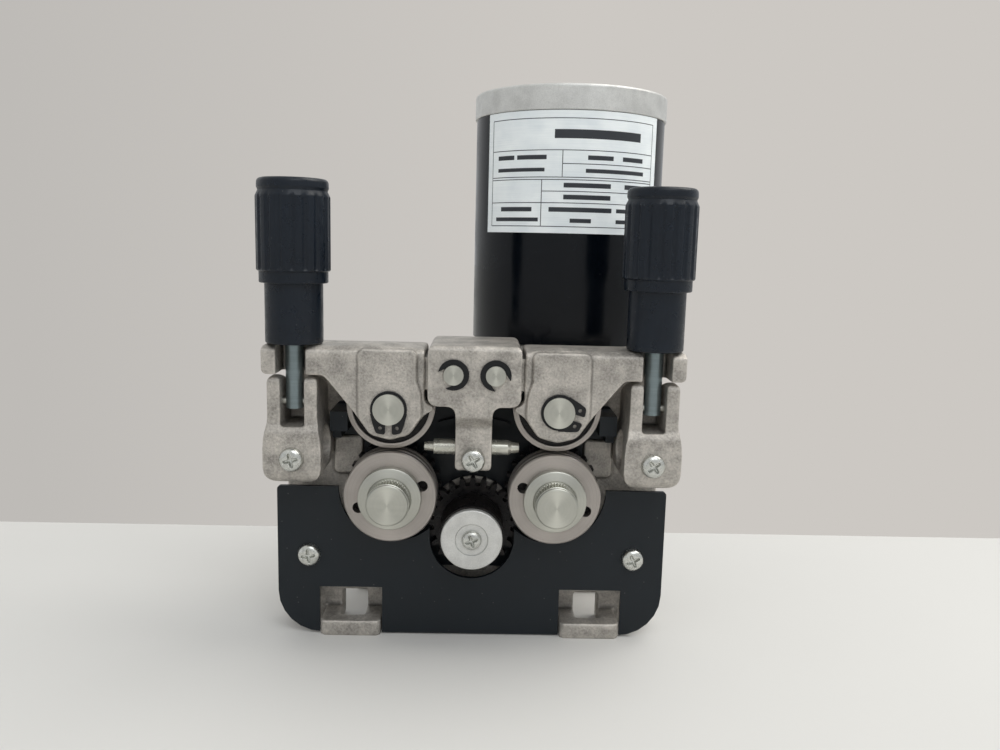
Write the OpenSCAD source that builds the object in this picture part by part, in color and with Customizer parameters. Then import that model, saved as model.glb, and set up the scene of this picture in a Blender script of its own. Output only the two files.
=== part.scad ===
// Two-roll-pair welding wire feeder: X runs along the wire, Y points away from the
// operator, Z is up. The origin is the centre of the footprint on the bench.

/* [Feed rolls] */
// Outside diameter of each drive roll
roll_d = 37; // [34:0.5:38]
// Width of each drive roll
roll_w = 12; // [11:0.5:13]
// Bore of each drive roll
roll_bore = 19; // [17:0.5:20]
// Distance between the axes of the two drive rolls
roll_spacing = 65.3; // [64:0.1:67]
// Distance between the two wire grooves of a roll
groove_pitch = 5; // [4:0.1:6]
// Depth of each wire groove
groove_depth = 0.9; // [0.4:0.1:1.4]
// Diameter of the two driving holes of a roll
drive_hole_d = 4.4; // [3.5:0.1:5]
// Distance of the driving holes from the axis
drive_hole_r = 13.5; // [13:0.1:14.5]
// Direction of the outer driving hole, below the horizontal
drive_hole_angle = 20; // [0:5:45]
// Outside diameter of each pressure roller
press_d = 34.6; // [32:0.2:36]
// Width of each pressure roller
press_w = 10; // [9:0.5:10.5]
// Gap that the wire holds open between drive roll and pressure roller
nip_gap = 1; // [0.6:0.1:1.6]
// Diameter of the thumb screw barrel
thumb_barrel_d = 16.8; // [14:0.2:19]
// Diameter of the thumb screw flange
thumb_flange_d = 25; // [23:0.5:26]
// Thickness of the thumb screw flange
thumb_flange_t = 3.9; // [3:0.1:5]
// Length of the thumb screw from the face of the roll
thumb_l = 12; // [9:0.5:15]
// Number of knurls round the thumb screw
thumb_knurls = 44; // [24:2:60]

/* [Gears] */
// Module of the drive gear and the two roll gears
gear_module = 1.5; // [1.5:0.01:1.52]
// Teeth of each gear
gear_teeth = 24; // [24:1:24]
// Width of the gears
gear_w = 5; // [4:0.5:6]
// Height of the output shaft above the bench
hub_z = 48.1; // [46:0.1:52]
// Diameter of the output shaft
shaft_d = 12; // [10:0.5:14]
// Diameter of the drive gear's hub
hub_d = 26; // [24:0.5:28]
// Diameter of the washer on the end of the output shaft
hub_washer_d = 24.4; // [20:0.2:26]
// Distance that the hub washer stands in front of the roll faces
hub_reach = 6.1; // [5:0.1:8]
// Diameter of the roll axles
axle_d = 10; // [8:0.5:12]
// Module of the worm and its wheel
worm_module = 2; // [1.9:0.05:2]
// Teeth of the worm wheel
wheel_teeth = 34; // [34:1:34]
// Threads of the worm
worm_starts = 2; // [1:1:2]
// Diameter of the worm at its pitch line
worm_pitch_d = 13.5; // [13:0.1:14.5]
// Length of the worm thread
worm_l = 34; // [28:1:40]

/* [Frame] */
// Height of the whole feeder, to the top of the motor
overall_h = 229; // [215:0.5:250]
// Width of the cast frame wall
wall_w = 158; // [150:1:160]
// Height of the cast frame wall
wall_h = 116; // [112:1:118]
// Thickness of the cast frame wall
wall_t = 8; // [7:0.5:10]
// Distance from the roll faces to the front of the frame wall
wall_y = 26; // [25:0.5:28]
// Width of each front foot
foot_w = 25; // [22:0.5:25.5]
// Height of the front feet
foot_h = 6.5; // [4:0.5:8]
// Distance of each foot's middle from the centre
foot_x = 50.1; // [49:0.1:51]
// Distance from the roll faces to the front of the feet
foot_y = 9.6; // [8:0.2:12]
// Width of the bolt slot in each foot and in the wall above it
foot_slot_w = 10.6; // [8:0.2:14]
// Width of the front guard
guard_w = 160.3; // [150:0.5:162]
// Height of the front guard
guard_h = 63.1; // [56:0.5:64]
// Thickness of the front guard
guard_t = 1.8; // [1:0.1:3]
// Radius of the guard's lower corners
guard_corner = 18; // [8:1:22]
// Clearance of the guard round the drive rolls
guard_clear = 4; // [3:0.5:5]
// Distance between the two guard screws
guard_screw_spacing = 134.5; // [128:0.5:140]
// Height of the guard screws
guard_screw_z = 34.5; // [28:0.5:40]
// Width of the black gear shroud
shroud_w = 115; // [110:1:118]
// Height of the top of the gear shroud
shroud_top = 97; // [94:0.5:98]
// Thickness of the gear shroud
shroud_t = 1.8; // [1.2:0.1:2]

/* [Wire path] */
// Diameter of the bores that hold the inlet and outlet fittings
fitting_bore = 16; // [12:0.5:16.5]
// Diameter of the middle guide tube
guide_d = 6.2; // [5:0.1:7]
// Length of the middle guide tube
guide_l = 38; // [34:0.5:38]
// Diameter of the wire passage
wire_bore = 2; // [1:0.1:2.5]

/* [Brackets] */
// Distance between the middles of the two end brackets
bracket_spacing = 140; // [139:0.5:141]
// Width of the lower part of a bracket
bracket_w = 22.4; // [20:0.4:22.8]
// Width of a bracket across its two prongs
prong_w = 19.2; // [18:0.2:20]
// Height of the bottom of a bracket
bracket_bottom = 69.5; // [66:0.5:70]
// Height of the top of the prongs
prong_top = 111.5; // [108:0.5:112]
// Height of the bottom of the lever slot
slot_bottom = 92; // [91:0.5:93]
// Width of the lever slot
slot_w = 9; // [8.6:0.2:11]

/* [Tension levers] */
// Diameter of the lever rod
rod_d = 7.3; // [6:0.1:8]
// Height of the lever pivot
pivot_z = 101; // [100:0.5:102]
// Diameter of the lever pivot pin
lever_pin_d = 3; // [3:0.1:4.5]
// Diameter of the spring sleeve
sleeve_d = 22; // [20:0.2:23]
// Length of the spring sleeve
sleeve_l = 37; // [34:1:38]
// Diameter of the knob
knob_d = 27.8; // [26:0.2:28]
// Length of the fluted part of the knob
knob_l = 35.3; // [32:0.5:38]
// Diameter of the knob's lower collar
collar_d = 26; // [25:0.2:26.4]
// Length of the knob's lower collar
collar_l = 4.5; // [3:0.5:6]
// Length of the spring sleeve that the knob covers
knob_cover = 14; // [12:0.5:16]
// Number of flutes round the knob
knob_flutes = 18; // [12:1:24]
// Wire diameter of the tension spring
spring_wire = 2; // [1.5:0.1:2.4]
// Mean diameter of the tension spring
spring_d = 14; // [13:0.2:14.6]
// Number of curls of the tension spring
spring_curls = 7; // [5:1:9]

/* [Pressure arms] */
// Height of the top of the arms where the levers press
arm_top = 124; // [123:0.5:125]
// Height of the underside of the outer arm
arm_under = 112.5; // [112.5:0.5:114]
// Distance of the arm's outer end from the centre
arm_reach = 81.4; // [80:0.2:83]
// Distance of each arm pivot from the centre
pivot_x = 8; // [7.6:0.1:8.6]
// Height of the arm pivots
arm_pivot_z = 114.35; // [114:0.05:115]
// Diameter of the arm pivot pins
pivot_pin_d = 7.6; // [6:0.1:8]
// Diameter of the pressure roller axles
press_axle_d = 12; // [10:0.5:12]
// Width of the centre block
block_w = 35.6; // [34:0.2:36]
// Height of the centre block above the arm pivots
block_rise = 10.9; // [10:0.05:11.5]
// Height of the bottom of the centre block
block_bottom = 102; // [101.5:0.25:103]
// Width of the tongue that holds the guide tube
tongue_w = 14.2; // [12:0.2:15]

/* [Motor] */
// Outside diameter of the motor tube
motor_d = 85; // [80:0.5:86]
// Distance from the roll faces to the motor axis
motor_y = 74; // [72:0.5:76]
// Height of the lower end of the motor
motor_z = 121; // [120:0.5:126]
// Wall of the motor tube
motor_wall = 4; // [3:0.5:5]
// Diameter of the motor end cap
cap_d = 86.4; // [86:0.2:88]
// Height of the motor end cap
cap_h = 10.5; // [8:0.5:14]
// Diameter of the motor shaft
motor_shaft_d = 8; // [7:0.5:9]
// Height of the rating plate
plate_h = 49.7; // [40:0.1:60]
// Angle that the rating plate covers
plate_angle = 114; // [90:1:120]
// Diameter of the gearbox drum
drum_d = 84; // [82:0.5:86]
// Distance of the base plate's left edge from the centre
base_left = 54; // [50:1:60]
// Distance of the base plate's right edge from the centre
base_right = 81; // [76:1:83]
// Depth of the base plate
base_depth = 44; // [36:1:46]
// Thickness of the base plate
base_t = 6; // [4:0.5:6]
// Diameter of the two rear bolt holes
rear_bolt_d = 6.6; // [5:0.1:9]

/* [Hidden] */
$fn = 64;

// Named clearances
run_clear = 0.05;       // a shaft in the bore that it turns in
slide_clear = 0.1;      // a sleeve or washer on the rod that it slides on
air = 0.5;              // two pieces that pass without touching
mesh_clear = 0.03;      // added to the gear centre distance
gear_thinning = 0.06;   // share of the tooth pitch taken off each tooth
worm_tooth_share = 0.36; // share of the pitch that a worm or wheel tooth fills
pressure_angle = 20;
reach = 1;              // how far a cut runs past the face it opens

// Rolls and gears
roll_r = roll_d / 2;
press_r = press_d / 2;
roll_x = roll_spacing / 2;
gear_r = gear_module * gear_teeth / 2;
gear_centres = 2 * gear_r + mesh_clear;
roll_z = hub_z + sqrt(gear_centres * gear_centres - roll_x * roll_x);
train_angle = asin((roll_z - hub_z) / gear_centres);
tooth_step = 360 / gear_teeth;
gear_y = 15;
press_z = roll_z + roll_r + nip_gap + press_r;
press_y = (roll_w - press_w) / 2;
wire_y = (roll_w + groove_pitch) / 2;
wire_z = roll_z + roll_r + nip_gap / 2;
carrier_hub_r = roll_bore / 2 - run_clear;
carrier_flange_r = drive_hole_r + drive_hole_d / 2 + 0.8;
carrier_back = wall_y - shroud_t - air;
axle_front = 5.5;
stud_r = 3;
hub_recess = 2.5;

// Bearings: outside radius and width
press_bearing_r = press_r - 2;
shaft_bearing_r = 14;
shaft_bearing_w = 8;
motor_bearing_r = 11;
motor_bearing_w = 7;
worm_bearing_r = 8;
worm_bearing_w = 5;

// Worm drive
worm_x = (worm_module * wheel_teeth + worm_pitch_d) / 2;
wheel_pitch_r = worm_module * wheel_teeth / 2;
worm_pitch_r = worm_pitch_d / 2;
worm_addendum = 0.65 * worm_module;
worm_dedendum = 0.88 * worm_module;
worm_root_r = worm_pitch_r - worm_dedendum;
worm_lead = PI * worm_module * worm_starts;
worm_lead_angle = atan(worm_lead / (PI * worm_pitch_d));
worm_bottom = hub_z - worm_l / 2;
wheel_root_r = wheel_pitch_r - worm_dedendum;
wheel_rim = 8;
wheel_hub = 13;

// Places along Y
front_y = -thumb_l;
rear_y = motor_y + cap_d / 2;
mid_y = (front_y + rear_y) / 2;
wall_back = wall_y + wall_t;
guard_y = roll_w + 0.13;
guard_back = guard_y + guard_t;

// Gearbox housing
drum_r = drum_d / 2;
drum_wall = 4.5;
drum_front = motor_y - 14;
drum_back = motor_y + 14;
drum_floor = 3;
cover_t = 6;
cover_hub = 6;
cover_screw_d = 3;
cover_head_d = 4.4;
cover_head_h = 2.4;
flange_t = 9;
rib_x = 36;
rib_t = 5;
rib_z = 20;
rib_h = 60;
pedestal_w = 52;
bolt_inset = 7;
worm_space = 3;         // between the worm and its bearing
bore_clear = 1.2;       // housing round the turning worm
cover_screw_r = drum_r - drum_wall / 2;
cover_screw_in = 7;     // length of a cover screw inside the drum
column_r = (drum_back - drum_front) / 2 - 0.1;
worm_bearing_z = worm_bottom - worm_space - worm_bearing_w;

// Gear shroud
shroud_bottom = 26;
shroud_waist_z = 66;
shroud_neck_z = 74;
shroud_shoulder_z = 84;
shroud_waist_in = 9;
shroud_neck_in = 14;
ear_w = 7;
ear_z = 88;
ear_y = 7;
ear_step = 6;
arc_y = 21;
arc_r = 44;
arc_t = 2.5;
arc_w = 30;

// Arms and levers
lever_x = bracket_spacing / 2;
lever_y = 2;
sleeve_base = arm_top;
crown_r = arm_top - pivot_z;
side_crown_r = 120;
crown_start = lever_x - 13;
arm_seam = lever_x - 15;
arm_waist = lever_x - prong_w / 2 - 2.7;
arm_inner = block_w / 2 + 1.5;
arm_hump = 0.2;
arm_brow = 2;           // how far the front edge lies below the top
arm_slot_w = 11.3;
arm_slot_back = lever_y + 4.5;
arm_slot_shift = 0.15;
arm_neck_w = 13;
arm_neck_h = 12.5;
pad_top = arm_top - 1;
toe_x = 12.6;           // the arm's inner toe, under the centre block
toe_z = block_bottom - 0.6;
arm_front = -5.6;
arm_back = 20;
pad_proud = 1;
pad_front = arm_front - pad_proud;
clip_t = 1;
clip_band = 1;
axle_end = pad_front - 2 * clip_t;
block_top = arm_pivot_z + block_rise;
block_front = -9.5;
block_roof = 1.8;
block_skirt = 4.2;      // the front face runs this far down the tongue
prong_round = 2.2;
prong_fall = 6;         // the prongs are that much lower at the back
block_skin = 4.3;
block_cave_back = 18.4;
knuckle_front = block_front + block_skin + 0.3;
knuckle_l = block_cave_back - knuckle_front - 0.3;
knuckle_r = pivot_x - 0.8;
pocket_r = press_r + 1.1;
pocket_front = press_y - air;
pocket_back = press_y + press_w + air;
tongue_bottom = 76;
tongue_front = -6;
tongue_back = 14;
bracket_front = -6.2;
bracket_heel = 9;
prong_front = -4.4;
prong_back = 20;
slot_back = 13;
washer_t = 2.5;
sleeve_floor = 3;
sleeve_wall = 2;
knob_z = sleeve_base + sleeve_l - knob_cover;
knob_top = knob_z + collar_l + knob_l;
knob_cap = 14.8;        // solid end of the knob, above its cavity
knob_neck = 4.6;
knob_roof = knob_top - knob_cap;
knob_cave_r = sleeve_d / 2 + 0.3;
rod_bottom = pivot_z - lever_pin_d / 2 - 1;
rod_top = knob_top - 4.8;
rod_flat_l = 16;

// Frame and guard
lug_t = 3;
lug_w = 12;
lug_h = 16;
lug_x = lever_x - bracket_w / 2 - lug_w / 2 - 0.25;
lug_z = bracket_bottom - 3;
shaft_boss = 4;
guard_boss_r = 6;
guard_screw_l = 7.5;
guard_gap = 0.6;
guard_notch_h = 20.5;
hub_notch_r = 17.5;
hub_notch_z = 42.5;
slot_rise = 7;          // height of a bolt slot in the wall above its foot
shoulder_w = 16;
shoulder_drop = 9;
slot_land = 7;          // metal in front of a foot's bolt slot

// Screws
screw_head_d = 9.6;
screw_head_h = 3;
screw_shank_d = 5;
screw_recess = 1.6;
cross_w = 1;
cross_l = 5.2;
clamp_screw_z = 79.6;
tongue_screw_z = 80.5;

// Motor
motor_l = overall_h - cap_h - motor_z;
motor_top = motor_z + motor_l;
motor_inner_r = motor_d / 2 - motor_wall;
magnet_t = 8;
core_r = motor_inner_r - magnet_t - 1;
winding_l = 8;
floor_t = 3;
coil_gap = 1;
core_bottom = motor_z + floor_t + motor_bearing_w + coil_gap + winding_l;
commutator_r = 12;
commutator_l = 12;
commutator_gap = 2;
brush_space = 6.5;
commutator_z = motor_top - brush_space - commutator_l;
core_l = commutator_z - commutator_gap - winding_l - core_bottom;
magnet_over = 5;
magnet_split = 14;
brush_w = 8;
brush_h = 6;
brush_cap = 4;          // holder left outside each brush box
plate_turn = -2.4;      // the rating plate sits this far round from straight ahead
plate_t = 0.25;
plate_gap = 0.2;

// ---------------------------------------------------------------- helpers

module in_frame() translate([0, -mid_y, 0]) children();

module to_side(side) mirror([side < 0 ? 1 : 0, 0, 0]) children();

module both_sides() {
    children();
    mirror([1, 0, 0]) children();
}

// A flat outline in X and Z, thickened along Y from y to y + depth
module slab_y(y, depth) translate([0, y + depth, 0]) rotate([90, 0, 0])
    linear_extrude(depth) children();

// A flat outline in Y and Z, thickened along X from x to x + width
module slab_x(x, width) translate([x, 0, 0]) rotate([90, 0, 90])
    linear_extrude(width) children();

module rod_y(x, z, y, r, l) translate([x, y, z]) rotate([-90, 0, 0]) cylinder(r = r, h = l);

module rod_x(x, y, z, r, l) translate([x, y, z]) rotate([0, 90, 0]) cylinder(r = r, h = l);

module rod_z(x, y, z, r, l) translate([x, y, z]) cylinder(r = r, h = l);

module ring_y(x, z, y, r, bore_r, l) difference() {
    rod_y(x, z, y, r, l);
    rod_y(x, z, y - reach, bore_r, l + 2 * reach);
}

// A profile of [radius, y] points turned about an axis along Y
module turned_y(x, z) translate([x, 0, z]) rotate([-90, 0, 0]) rotate_extrude() children();

function unit(v) = v / norm(v);

// The arc that rounds corner b, between a and c, to radius r
function corner_arc(a, b, c, r) = let(
        u = unit(a - b),
        v = unit(c - b),
        half = acos(u * v) / 2,
        centre = b + unit(u + v) * r / sin(half),
        p = b + u * r / tan(half) - centre,
        q = b + v * r / tan(half) - centre,
        start = atan2(p[1], p[0]),
        turn = (atan2(q[1], q[0]) - start + 540) % 360 - 180,
        steps = 6)
    [for (i = [0:steps]) centre + r * [cos(start + turn * i / steps), sin(start + turn * i / steps)]];

// An outline from corners [x, y, radius]
function rounded(corners) = let(n = len(corners))
    [for (i = [0:n - 1]) let(
            a = corners[(i + n - 1) % n],
            b = corners[i],
            c = corners[(i + 1) % n])
        each b[2] > 0
            ? corner_arc([a[0], a[1]], [b[0], b[1]], [c[0], c[1]], b[2])
            : [[b[0], b[1]]]];

// A rectangle about its middle in X, standing on z, with rounded corners
function box_outline(x, z, w, h, r) = rounded([
    [x - w / 2, z, r], [x + w / 2, z, r], [x + w / 2, z + h, r], [x - w / 2, z + h, r]]);

// ---------------------------------------------------------------- gears

function involute(pitch_r, r) = let(a = acos(pitch_r * cos(pressure_angle) / r))
    tan(a) * 180 / PI - a;

// Half the angle that a tooth fills at radius r
function tooth_half(pitch_r, teeth, r) = 90 / teeth * (1 - 2 * gear_thinning)
    + involute(pitch_r, pitch_r) - involute(pitch_r, max(r, pitch_r * cos(pressure_angle)));

function gear_outline(teeth, phase) = let(
        p = gear_module * teeth / 2,
        base = p * cos(pressure_angle),
        root = p - 1.25 * gear_module,
        tip = p + 0.95 * gear_module,
        radii = [root, for (i = [0:4]) base + (tip - base) * i / 4])
    [for (t = [0:teeth - 1]) each concat(
        [for (r = radii) let(a = phase + t * 360 / teeth - tooth_half(p, teeth, r))
            r * [cos(a), sin(a)]],
        [for (i = [len(radii) - 1:-1:0]) let(
                r = radii[i],
                a = phase + t * 360 / teeth + tooth_half(p, teeth, r))
            r * [cos(a), sin(a)]])];

// Half the axial thickness of a worm or wheel tooth, rise above the pitch line
function rack_half(rise) = PI * worm_module * worm_tooth_share / 2 - rise * tan(pressure_angle);

// Cross section of the worm: each thread is a lobe on the core
function worm_outline() = let(
        top = rack_half(worm_addendum) * 360 / worm_lead,
        foot = rack_half(-worm_dedendum) * 360 / worm_lead,
        lobe = 360 / worm_starts)
    [for (s = [0:worm_starts - 1]) each concat(
        [for (i = [-2:2]) let(a = s * lobe + top * i / 2)
            (worm_pitch_r + worm_addendum) * [cos(a), sin(a)]],
        [for (i = [0:3]) let(a = s * lobe + foot + (lobe - 2 * foot) * i / 3)
            worm_root_r * [cos(a), sin(a)]])];

// ---------------------------------------------------------------- frame

module foot_pad() difference() {
    translate([0, foot_y, 0]) linear_extrude(foot_h)
        polygon(rounded([
            [foot_x - foot_w / 2, 0, 2.5], [foot_x + foot_w / 2, 0, 2.5],
            [foot_x + foot_w / 2, wall_back - foot_y, 0],
            [foot_x - foot_w / 2, wall_back - foot_y, 0]]));
    translate([foot_x - foot_slot_w / 2, foot_y + slot_land, -reach])
        cube([foot_slot_w, wall_back, foot_h + 2 * reach]);
}

module wall_outline() {
    half = wall_w / 2;
    shoulder = half - shoulder_w;
    polygon(rounded([
        [-half, 0, 6], [half, 0, 6], [half, wall_h - shoulder_drop, 5], [shoulder, wall_h, 8],
        [-shoulder, wall_h, 8], [-half, wall_h - shoulder_drop, 5]]));
}

// A cast lug beside each bracket, grown all round by grow
module lug_outline(grow) polygon(box_outline(lug_x, lug_z - grow, lug_w + 2 * grow,
    lug_h + 2 * grow, 2));

module main_frame() color([0.66, 0.64, 0.61]) in_frame() difference() {
    union() {
        difference() {
            slab_y(wall_y, wall_t) wall_outline();
            both_sides() translate([foot_x - foot_slot_w / 2, wall_y - reach, -reach])
                cube([foot_slot_w, wall_t + 2 * reach, foot_h + slot_rise + reach]);
        }
        both_sides() foot_pad();
        both_sides() rod_y(guard_screw_spacing / 2, guard_screw_z, guard_back, guard_boss_r,
            wall_y - guard_back + reach);
        both_sides() slab_y(wall_y - lug_t, lug_t + reach) lug_outline(0);
        rod_y(0, hub_z, wall_y - shroud_t, shaft_bearing_r + shaft_boss, shroud_t + reach);
    }
    rod_y(0, hub_z, wall_y - shroud_t - reach, shaft_bearing_r - 2, wall_t + 4 * reach);
    rod_y(0, hub_z, wall_back - shaft_bearing_w, shaft_bearing_r, shaft_bearing_w + reach);
    both_sides() rod_y(roll_x, roll_z, wall_y - reach, axle_d / 2, wall_t + 2 * reach);
    both_sides() rod_y(guard_screw_spacing / 2, guard_screw_z, guard_back - reach,
        screw_shank_d / 2, guard_screw_l + reach);
}

module gearbox_housing() color([0.6, 0.59, 0.57]) in_frame() difference() {
    union() {
        rod_y(0, hub_z, drum_front, drum_r, drum_back - drum_front);
        rod_y(0, hub_z, wall_back, shaft_bearing_r + shaft_boss, drum_front - wall_back + reach);
        rod_z(worm_x, motor_y, 0, column_r, motor_z - reach);
        rod_z(worm_x, motor_y, motor_z - flange_t, motor_d / 2 - 1, flange_t);
        both_sides() translate([rib_x - rib_t / 2, wall_back, rib_z])
            cube([rib_t, drum_front - wall_back + 2 * reach, rib_h]);
        translate([-base_left, drum_front - 2, 0]) cube([base_left + base_right, base_depth, base_t]);
        translate([-pedestal_w / 2, drum_front, 0])
            cube([pedestal_w, drum_back - drum_front, hub_z - drum_r + drum_wall]);
    }
    rod_y(0, hub_z, drum_front + drum_floor, drum_r - drum_wall, drum_back);
    rod_y(0, hub_z, wall_back - reach, shaft_d / 2 + 2, drum_front);
    rod_z(worm_x, motor_y, worm_bottom - worm_space, worm_pitch_r + worm_addendum + bore_clear, motor_z);
    rod_z(worm_x, motor_y, worm_bearing_z, worm_bearing_r, worm_bearing_w + reach);
    translate([-wall_w, 0, -reach]) cube([2 * wall_w, wall_back, wall_h + air + reach]);
    rod_y(0, hub_z, drum_back, drum_r + air, base_depth);
    for (x = [bolt_inset - base_left, base_right - bolt_inset])
        rod_z(x, drum_back, -reach, rear_bolt_d / 2, base_t + 2 * reach);
    for (a = [60:60:300]) rotate_about_hub(a)
        rod_y(cover_screw_r, 0, drum_back - cover_screw_in - reach, cover_screw_d / 2, 2 * cover_screw_in);
}

module rotate_about_hub(a) translate([0, 0, hub_z]) rotate([0, -a, 0]) children();

module gearbox_cover() color([0.62, 0.61, 0.59]) in_frame() difference() {
    union() {
        rod_y(0, hub_z, drum_back, drum_r, cover_t);
        rod_y(0, hub_z, drum_back, shaft_bearing_r + shaft_boss + 1, cover_t + cover_hub);
    }
    rod_y(0, hub_z, drum_back - reach, shaft_bearing_r, shaft_bearing_w + reach);
    for (a = [60:60:300]) rotate_about_hub(a)
        rod_y(cover_screw_r, 0, drum_back - reach, cover_screw_d / 2, cover_t + 2 * reach);
}

module cover_screws() color([0.5, 0.5, 0.5]) in_frame()
    for (a = [60:60:300]) rotate_about_hub(a) {
        rod_y(cover_screw_r, 0, drum_back - cover_screw_in, cover_screw_d / 2, cover_t + cover_screw_in);
        rod_y(cover_screw_r, 0, drum_back + cover_t, cover_head_d / 2, cover_head_h);
    }

module guard_notch() translate([foot_x - foot_w / 2 - air, 0, -reach])
    cube([foot_w + 2 * air, wall_y, guard_notch_h + reach]);

module front_guard() color([0.13, 0.14, 0.15]) in_frame() difference() {
    slab_y(guard_y, guard_t) difference() {
        half = guard_w / 2;
        polygon(rounded([
            [-half, guard_gap, guard_corner], [half, guard_gap, guard_corner],
            [half, guard_gap + guard_h, 1.5], [-half, guard_gap + guard_h, 1.5]]));
        for (side = [-1, 1]) translate([side * roll_x, roll_z]) circle(r = roll_r + guard_clear);
        translate([0, hub_notch_z]) circle(r = hub_notch_r);
        translate([-hub_notch_r, hub_notch_z]) square([2 * hub_notch_r, guard_h]);
    }
    both_sides() guard_notch();
    both_sides() rod_y(guard_screw_spacing / 2, guard_screw_z, guard_y - reach,
        screw_shank_d / 2, guard_t + 2 * reach);
}

module gear_shroud() color([0.1, 0.1, 0.11]) in_frame() {
    half = shroud_w / 2;
    ear = half - ear_w;
    back = wall_y - shroud_t + reach;
    difference() {
        union() {
            slab_y(wall_y - shroud_t, shroud_t) polygon(rounded([
                [-half + shroud_waist_in, shroud_bottom, 3], [half - shroud_waist_in, shroud_bottom, 3],
                [half - shroud_waist_in, shroud_waist_z, 2], [half - shroud_neck_in, shroud_neck_z, 2],
                [half, shroud_shoulder_z, 1], [half, shroud_top, 1.5], [-half, shroud_top, 1.5],
                [-half, shroud_shoulder_z, 1], [-half + shroud_neck_in, shroud_neck_z, 2],
                [-half + shroud_waist_in, shroud_waist_z, 2]]));
            both_sides() slab_y(ear_y, back - ear_y) translate([ear, ear_z])
                square([ear_w, shroud_top - 1 - ear_z]);
            both_sides() slab_y(ear_y + ear_step, back - ear_y - ear_step)
                translate([ear + ear_w / 2, shroud_shoulder_z])
                square([ear_w / 2, ear_z + 2 - shroud_shoulder_z]);
            slab_y(arc_y, back - arc_y) intersection() {
                translate([0, hub_z]) difference() {
                    circle(r = arc_r);
                    circle(r = arc_r - arc_t);
                }
                translate([-arc_w / 2, hub_z]) square([arc_w, arc_r]);
            }
        }
        rod_y(0, hub_z, 0, shaft_bearing_r + shaft_boss, wall_y + reach);
        both_sides() rod_y(roll_x, roll_z, 0, axle_d / 2 + 1, wall_y + reach);
        both_sides() slab_y(wall_y - shroud_t - reach, wall_y) lug_outline(air);
    }
}

// The lever slot, flared over the round tops of the prongs
module slot_outline() {
    half = slot_w / 2;
    polygon(rounded([
        [lever_x - half, slot_bottom, 0.8], [lever_x + half, slot_bottom, 0.8],
        [lever_x + half, prong_top, prong_round], [lever_x + half + prong_round, prong_top, 0],
        [lever_x + half + prong_round, prong_top + reach, 0],
        [lever_x - half - prong_round, prong_top + reach, 0],
        [lever_x - half - prong_round, prong_top, 0], [lever_x - half, prong_top, prong_round]]));
}

// Right-hand bracket: the front outline and the side outline cut each other
module bracket() difference() {
    intersection() {
        slab_y(bracket_front - reach, wall_y - bracket_front + 2 * reach) polygon(rounded([
            [lever_x - bracket_w / 2, bracket_bottom, 6], [lever_x + bracket_w / 2, bracket_bottom, 6],
            [lever_x + bracket_w / 2, slot_bottom - 6, 20], [lever_x + prong_w / 2, slot_bottom + 3, 14],
            [lever_x + prong_w / 2, prong_top, prong_round], [lever_x - prong_w / 2, prong_top, prong_round],
            [lever_x - prong_w / 2, slot_bottom + 3, 14],
            [lever_x - bracket_w / 2, slot_bottom - 6, 20]]));
        slab_x(lever_x - bracket_w, 2 * bracket_w) polygon(rounded([
            [bracket_front, bracket_bottom, 5], [wall_y - bracket_heel, bracket_bottom, 3],
            [wall_y, bracket_bottom + 7, 3], [wall_y, slot_bottom - 6, 4], [prong_back, slot_bottom, 3],
            [prong_back, prong_top - prong_fall, 5], [lever_y, prong_top, 6],
            [prong_front, prong_top, 2.5], [prong_front, slot_bottom + 1, 1],
            [bracket_front, slot_bottom - 2, 2.5]]));
    }
    slab_y(bracket_front - reach, slot_back - bracket_front + reach) slot_outline();
    rod_x(lever_x - bracket_w, wire_y, wire_z, fitting_bore / 2, 2 * bracket_w);
    rod_x(lever_x - prong_w / 2 + 1, lever_y, pivot_z, lever_pin_d / 2, prong_w);
    rod_y(lever_x, clamp_screw_z, bracket_front - reach, screw_shank_d / 2, wire_y - bracket_front);
}

module bracket_left() color([0.65, 0.63, 0.6]) in_frame() to_side(-1) bracket();

module bracket_right() color([0.65, 0.63, 0.6]) in_frame() to_side(1) bracket();

module pan_head(x, z, y, l) difference() {
    union() {
        turned_y(x, z) polygon(rounded([
            [0, y - screw_head_h, 0], [screw_head_d / 2, y - screw_head_h, 1.8],
            [screw_head_d / 2, y, 0], [0, y, 0]]));
        rod_y(x, z, y - 0.1, screw_shank_d / 2, l);
    }
    for (a = [30, 120]) translate([x, y - screw_head_h - reach, z]) rotate([0, a, 0])
        translate([-cross_l / 2, 0, -cross_w / 2]) cube([cross_l, reach + screw_recess, cross_w]);
}

module pan_head_screws() color([0.75, 0.75, 0.73]) in_frame() {
    both_sides() pan_head(guard_screw_spacing / 2, guard_screw_z, guard_y, guard_screw_l);
    both_sides() pan_head(lever_x, clamp_screw_z, bracket_front,
        wire_y - bracket_front - fitting_bore / 2 - 0.3);
    pan_head(0, tongue_screw_z, tongue_front, wire_y - guide_d / 2 - tongue_front);
}

module block_outline() {
    half = block_w / 2;
    tongue = tongue_w / 2;
    polygon(rounded([
        [-tongue, tongue_bottom, 2], [tongue, tongue_bottom, 2], [tongue, block_bottom, 3.4],
        [half, block_bottom, 3.6], [half, block_top, 2.5], [-half, block_top, 2.5],
        [-half, block_bottom, 3.6], [-tongue, block_bottom, 3.4]]));
}

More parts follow.
